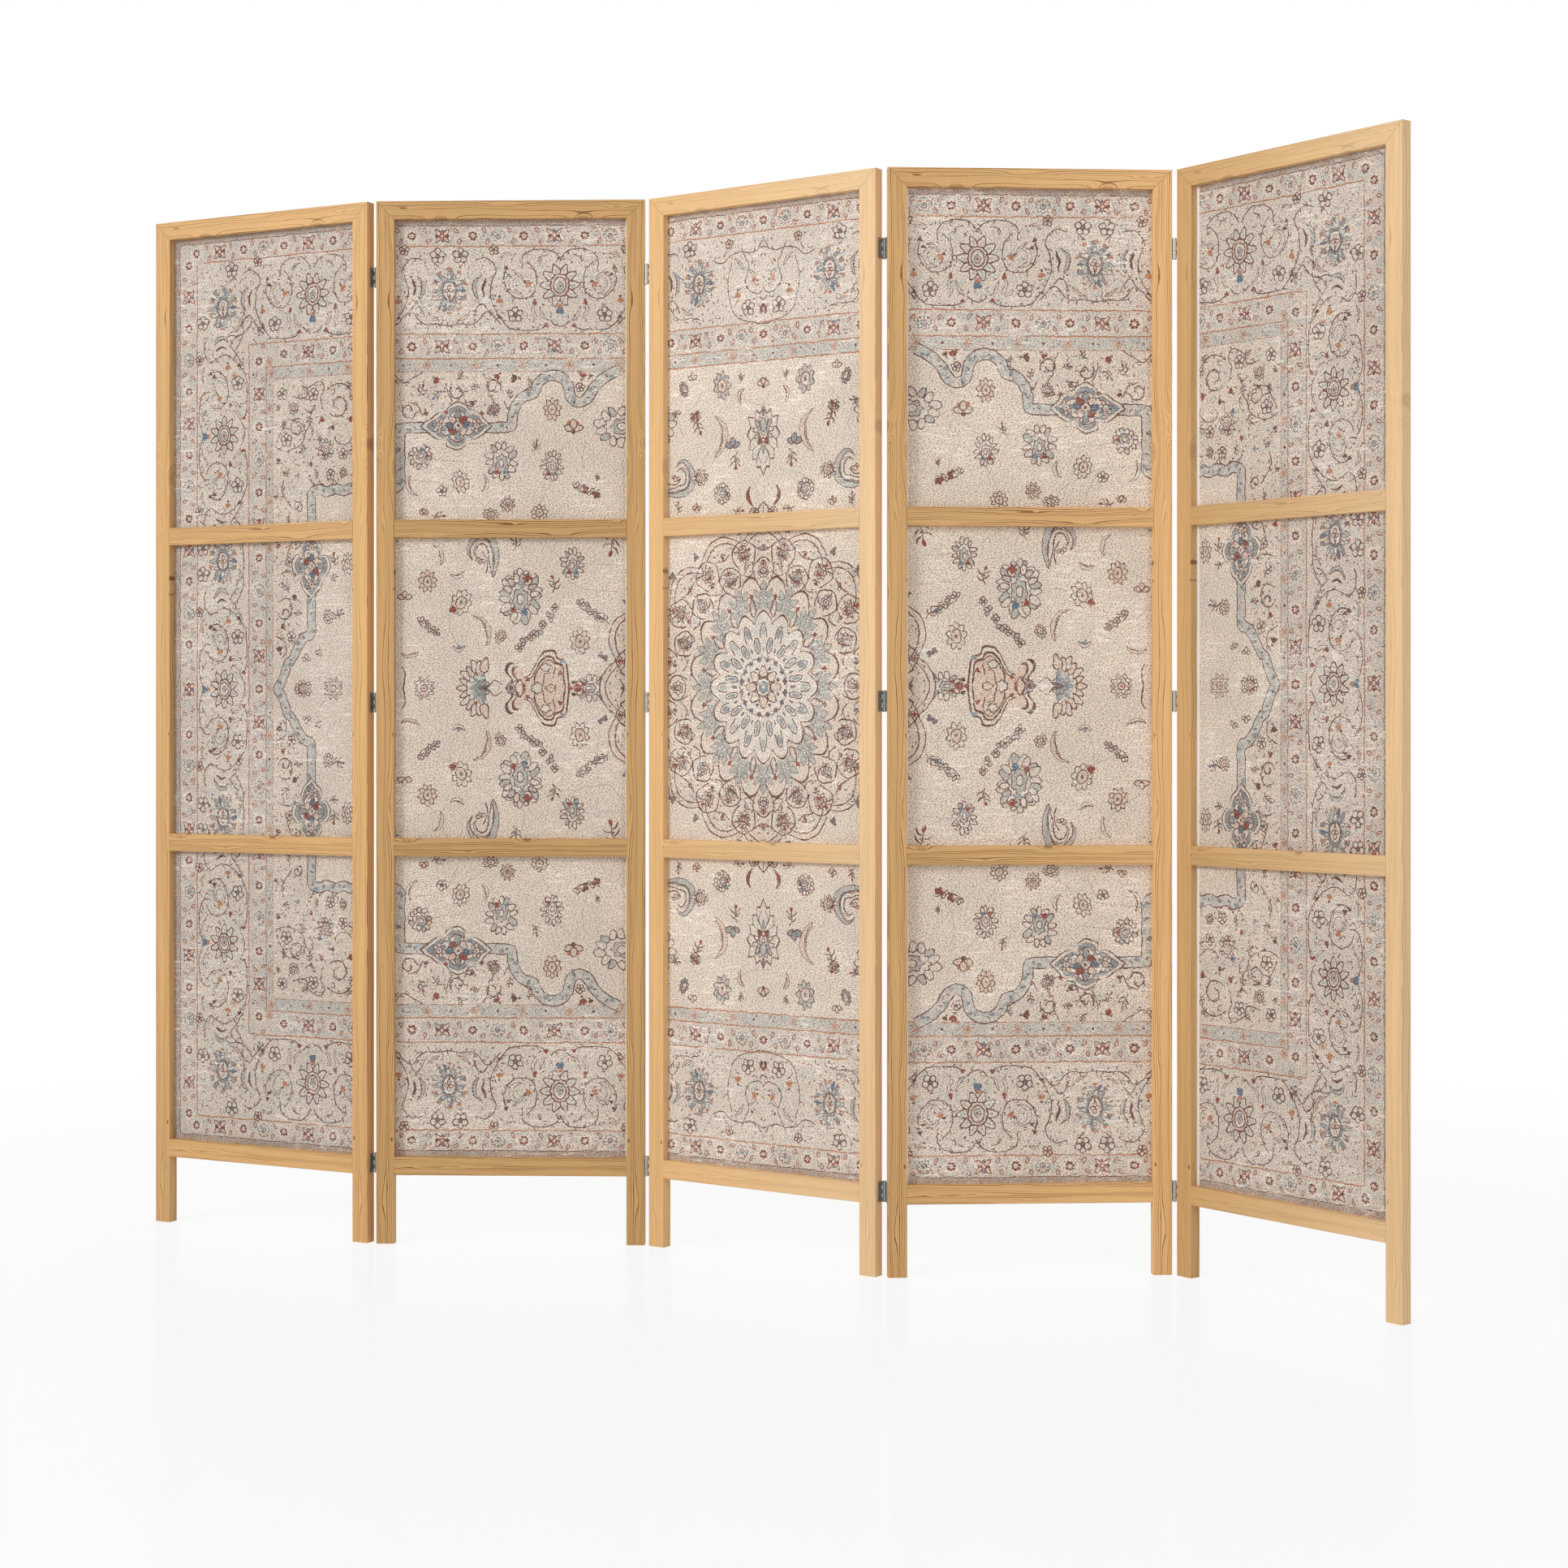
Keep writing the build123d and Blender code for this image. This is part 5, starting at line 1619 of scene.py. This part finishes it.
def print_plan(panel, shapes, cuts):
    """Front triangles of one cloth as panel x and z points with their colours."""
    twin = min(panel, 6 - panel)
    left, right = rug_u(twin, CLOTH_LEFT), rug_u(twin, CLOTH_RIGHT)
    own = list(shapes)
    if twin in MARGINS:
        rim = right - (CLOTH_RIGHT - (PANEL_WIDTH - MEMBER_WIDTH)) - MARGINS[twin]
        own.append(([(rim, 0.0), (right + 5, 0.0), (right + 5, 900.0), (rim, 900.0)], "margin"))
    if twin not in cuts:
        cuts[twin] = quarter_mesh(own, (left, CLOTH_TOP_V), (0.0 if twin == 3 else right, RUG_MIDDLE))
    verts, kept = cuts[twin]
    mirrors = [(1, 1), (1, -1)]
    if twin == 3:
        mirrors += [(-1, 1), (-1, -1)]
    side = -1 if panel > 3 else 1
    places, points, tris = {}, [], []
    for mu, mv in mirrors:
        spots = []
        for p in verts:
            x = side * mu * p.x - (panel - 3) * RUG_PITCH + CLOTH_MIDDLE
            v = p.y if mv > 0 else 2 * RUG_MIDDLE - p.y
            spots.append((round(x, 2), round(v, 2)))
        for tri, ground, ink in kept:
            corners = [spots[k] for k in tri]
            if len(set(corners)) < 3:
                continue
            for x, v in corners:
                if (x, v) not in places:
                    places[(x, v)] = len(points)
                    points.append((x, SCREEN_HEIGHT - v))
            a, b, c = (places[spot] for spot in corners)
            (ax, az), (bx, bz), (cx, cz) = points[a], points[b], points[c]
            turn = (bx - ax) * (cz - az) - (cx - ax) * (bz - az)
            tris.append(((a, b, c) if turn > 0 else (a, c, b), ground, ink))
    return points, tris


def map_cell(z):
    """Which third of the front a height lies in, from the bottom."""
    return min(2, int((z - CLOTH_LOW) / CLOTH_THIRD + 1e-6))


def map_point(cell, x, up):
    """Place on the cloth's map: the thirds of the front fill three cells of four, the rest the last."""
    across, room = (x - CLOTH_LEFT) / CLOTH_WIDTH, 0.5 - 2 * MAP_RIM
    return (cell % 2) * 0.5 + MAP_RIM + across * room, (cell // 2) * 0.5 + MAP_RIM + up * room


def rim_place(point):
    """Which edge of the cloth a point lies on and how far round, or None within the cloth."""
    x, z = point
    if abs(z - CLOTH_LOW) < ON_EDGE:
        return (0, x)
    if abs(x - CLOTH_RIGHT) < ON_EDGE:
        return (1, z)
    if abs(z - CLOTH_HIGH) < ON_EDGE:
        return (2, -x)
    if abs(x - CLOTH_LEFT) < ON_EDGE:
        return (3, -z)
    return None


def face_colours(ground, ink, settings):
    """Ink and ground of one triangle, each with its strength as the fourth value."""
    dye, strength = INKS[ink] if ink else ((0.0, 0.0, 0.0), 0.0)
    wool, mottle = GROUNDS[ground]
    if ground == "field":
        wool = tuple(settings.ground_colour)
    return dye + (strength,), wool + (mottle,)


def make_cloth(panel, shapes, cuts, settings):
    """A closed thin sheet whose front is inlaid with the print."""
    points, tris = print_plan(panel, shapes, cuts)
    rim = [i for i, point in enumerate(points) if rim_place(point)]
    rim.sort(key=lambda i: rim_place(points[i]))
    back = {i: len(points) + k for k, i in enumerate(rim)}
    verts = [placed(panel, x, CLOTH_FRONT, z) for x, z in points]
    verts += [placed(panel, points[i][0], CLOTH_BACK, points[i][1]) for i in rim]
    faces = [tri for tri, _, _ in tris]
    faces += [(b, a, back[a], back[b]) for a, b in zip(rim, rim[1:] + rim[:1])]
    faces.append(tuple(back[i] for i in reversed(rim)))
    mesh = bpy.data.meshes.new(f"panel_{panel}_cloth")
    mesh.from_pydata(verts, [], faces)
    count = len(tris)
    mesh.polygons.foreach_set("material_index", [0] * count + [1] * (len(faces) - count))
    inks, grounds, uvs = [], [], []
    for tri, ground, ink in tris:
        dye, wool = face_colours(ground, ink, settings)
        inks += dye * 3
        grounds += wool * 3
        cell = map_cell(sum(points[k][1] for k in tri) / 3)
        for k in tri:
            x, z = points[k]
            uvs += map_point(cell, x, (z - CLOTH_LOW) / CLOTH_THIRD - cell)
    middle_z = (CLOTH_LOW + CLOTH_HIGH) / 2
    for polygon in mesh.polygons[count:]:
        for k in polygon.vertices:
            on_front = k < len(points)
            x, z = points[k if on_front else rim[k - len(points)]]
            rise = SIDE_RISE if on_front else 0.0
            u, v = map_point(3, x, (z - CLOTH_LOW) / CLOTH_HEIGHT)
            uvs += (u + math.copysign(rise, x - CLOTH_MIDDLE), v + math.copysign(rise, z - middle_z))
    spare = [1.0] * (4 * (len(mesh.loops) - 3 * count))
    for name, values in (("ink", inks), ("ground", grounds)):
        layer = mesh.color_attributes.new(name=name, type="BYTE_COLOR", domain="CORNER")
        layer.data.foreach_set("color", values + spare)
    mesh.uv_layers.new(name="OFBake").data.foreach_set("uv", uvs)
    cloth = bpy.data.objects.new(f"panel_{panel}_cloth", mesh)
    bpy.context.scene.collection.objects.link(cloth)
    mesh.materials.append(cloth_material(panel))
    mesh.materials.append(back_material(panel))
    return cloth


class SCREEN_OT_cloths(bpy.types.Operator):
    """Makes the five printed cloths"""
    bl_idname = "screen.cloths"
    bl_label = "Printed Cloths"

    def execute(self, context):
        settings = context.scene.screen_cloth
        shapes, cuts = draw_rug(), {}
        for panel in PANELS:
            cloth = make_cloth(panel, shapes, cuts, settings)
            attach(cloth, f"panel_{panel}")
            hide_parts(f"panel_{panel}_printed_cloth")
        return {"FINISHED"}


# Stage

# Name, place, target, size in metres and power in watts of each lamp
LAMPS = (
    ("key_lamp", (-4.8, -3.4, 3.3), (0.0, 0.0, 0.8), 2.0, 172.0),
    ("fill_lamp", (3.0, -4.8, 2.4), (0.0, 0.0, 0.8), 3.0, 53.0),
    ("rear_lamp", (0.6, 4.2, 3.0), (0.0, 0.0, 0.9), 3.0, 70.0),
)
CAMERA_PLACE = (0.0936, -4.298)
CAMERA_SHIFT = -0.0393
SENSOR_WIDTH = 36.0
FLOOR_REACH = 30.0
ROOM_LIGHT = 0.42
WHITE = (1.0, 1.0, 1.0)


def area_lamp(name, place, target, size, power):
    """A round lamp turned towards its target."""
    lamp = bpy.data.lights.new(name, "AREA")
    lamp.shape, lamp.size, lamp.energy = "DISK", size, power
    obj = bpy.data.objects.new(name, lamp)
    obj.location = place
    obj.rotation_euler = (Vector(target) - Vector(place)).to_track_quat("-Z", "Y").to_euler()
    bpy.context.scene.collection.objects.link(obj)


def seen_plainly(look):
    """1 where a camera, mirror or glass ray looks, else 0."""
    rays = [look.node("ShaderNodeLightPath", out=f"Is {kind} Ray") for kind in ("Camera", "Glossy",
                                                                                "Transmission")]
    return (rays[0] + rays[1] + rays[2]).clamp()


def floor_material():
    """White floor that keeps a soft share of the shadow."""
    look = Look("white_floor")
    point = look.node("ShaderNodeTexCoord", out="Object")
    tone = look.noise(point, scale=3.0, detail=2.0)
    colour = look.mix(tone, (0.86, 0.86, 0.86), (0.88, 0.88, 0.88))
    look.finish(Base_Color=colour, Roughness=0.12, Specular_IOR_Level=0.12)
    glow = look.node("ShaderNodeEmission", {"Color": WHITE, "Strength": 1.0})
    far = look.node("ShaderNodeVectorMath", {0: point}, out="Value", operation="LENGTH")
    share = seen_plainly(look) * far.ramp(1.2, 3.2, 0.84, 1.0)
    body = Sock(look.tree, look.shader.outputs[0])
    out = look.node("ShaderNodeMixShader", {0: share, 1: body, 2: glow})
    look.tree.links.new(out.link, look.tree.nodes["Material Output"].inputs[0])
    return look.material


class SCREEN_OT_stage(bpy.types.Operator):
    """Makes the floor, the lamps and the camera"""
    bl_idname = "screen.stage"
    bl_label = "Stage"

    def execute(self, context):
        settings = context.scene.screen_stage
        scene = context.scene
        mesh = bpy.data.meshes.new("floor")
        corners = [(x * FLOOR_REACH, y * FLOOR_REACH, 0) for x, y in ((-1, -1), (1, -1), (1, 1), (-1, 1))]
        mesh.from_pydata(corners, [], [(0, 1, 2, 3)])
        floor = bpy.data.objects.new("floor", mesh)
        mesh.materials.append(floor_material())
        scene.collection.objects.link(floor)
        for lamp in LAMPS:
            area_lamp(*lamp)
        world = bpy.data.worlds.new("white_room")
        world.use_nodes = True
        tree = world.node_tree
        scene.world = world
        background = tree.nodes["Background"]
        plain = Look("white_room", tree)
        put(tree, background.inputs[0], WHITE)
        put(tree, background.inputs[1], seen_plainly(plain).ramp(0.0, 1.0, ROOM_LIGHT, 1.0))
        scene.view_settings.view_transform = "Standard"
        camera = bpy.data.cameras.new("camera")
        camera.lens, camera.sensor_width = settings.lens, SENSOR_WIDTH
        camera.shift_y = CAMERA_SHIFT
        eye = bpy.data.objects.new("camera", camera)
        eye.location = (*CAMERA_PLACE, settings.camera_height)
        eye.rotation_euler = (math.radians(90.0), 0.0, 0.0)
        scene.collection.objects.link(eye)
        scene.camera = eye
        return {"FINISHED"}


class SCREEN_PT_panel(bpy.types.Panel):
    """Lists the operators that dress the screen"""
    bl_idname = "SCREEN_PT_panel"
    bl_label = "Folding Screen"
    bl_space_type = "VIEW_3D"
    bl_region_type = "UI"
    bl_category = "Screen"

    def draw(self, context):
        for name in OPERATORS:
            self.layout.operator(f"screen.{name}")


OPERATORS = ("wood", "hardware", "brads", "cloths", "stage")
CLASSES = (WoodSettings, ClothSettings, HardwareSettings, StageSettings, SCREEN_OT_wood,
           SCREEN_OT_hardware, SCREEN_OT_brads, SCREEN_OT_cloths, SCREEN_OT_stage, SCREEN_PT_panel)
SETTINGS = {"screen_wood": WoodSettings, "screen_cloth": ClothSettings,
            "screen_hardware": HardwareSettings, "screen_stage": StageSettings}


def register():
    for cls in CLASSES:
        bpy.utils.register_class(cls)
    for name, group in SETTINGS.items():
        setattr(bpy.types.Scene, name, bpy.props.PointerProperty(type=group))


def unregister():
    for name in SETTINGS:
        delattr(bpy.types.Scene, name)
    for cls in reversed(CLASSES):
        bpy.utils.unregister_class(cls)


def main():
    """Dresses the screen."""
    register()
    for name in OPERATORS:
        getattr(bpy.ops.screen, name)()


if __name__ == "__main__":
    main()
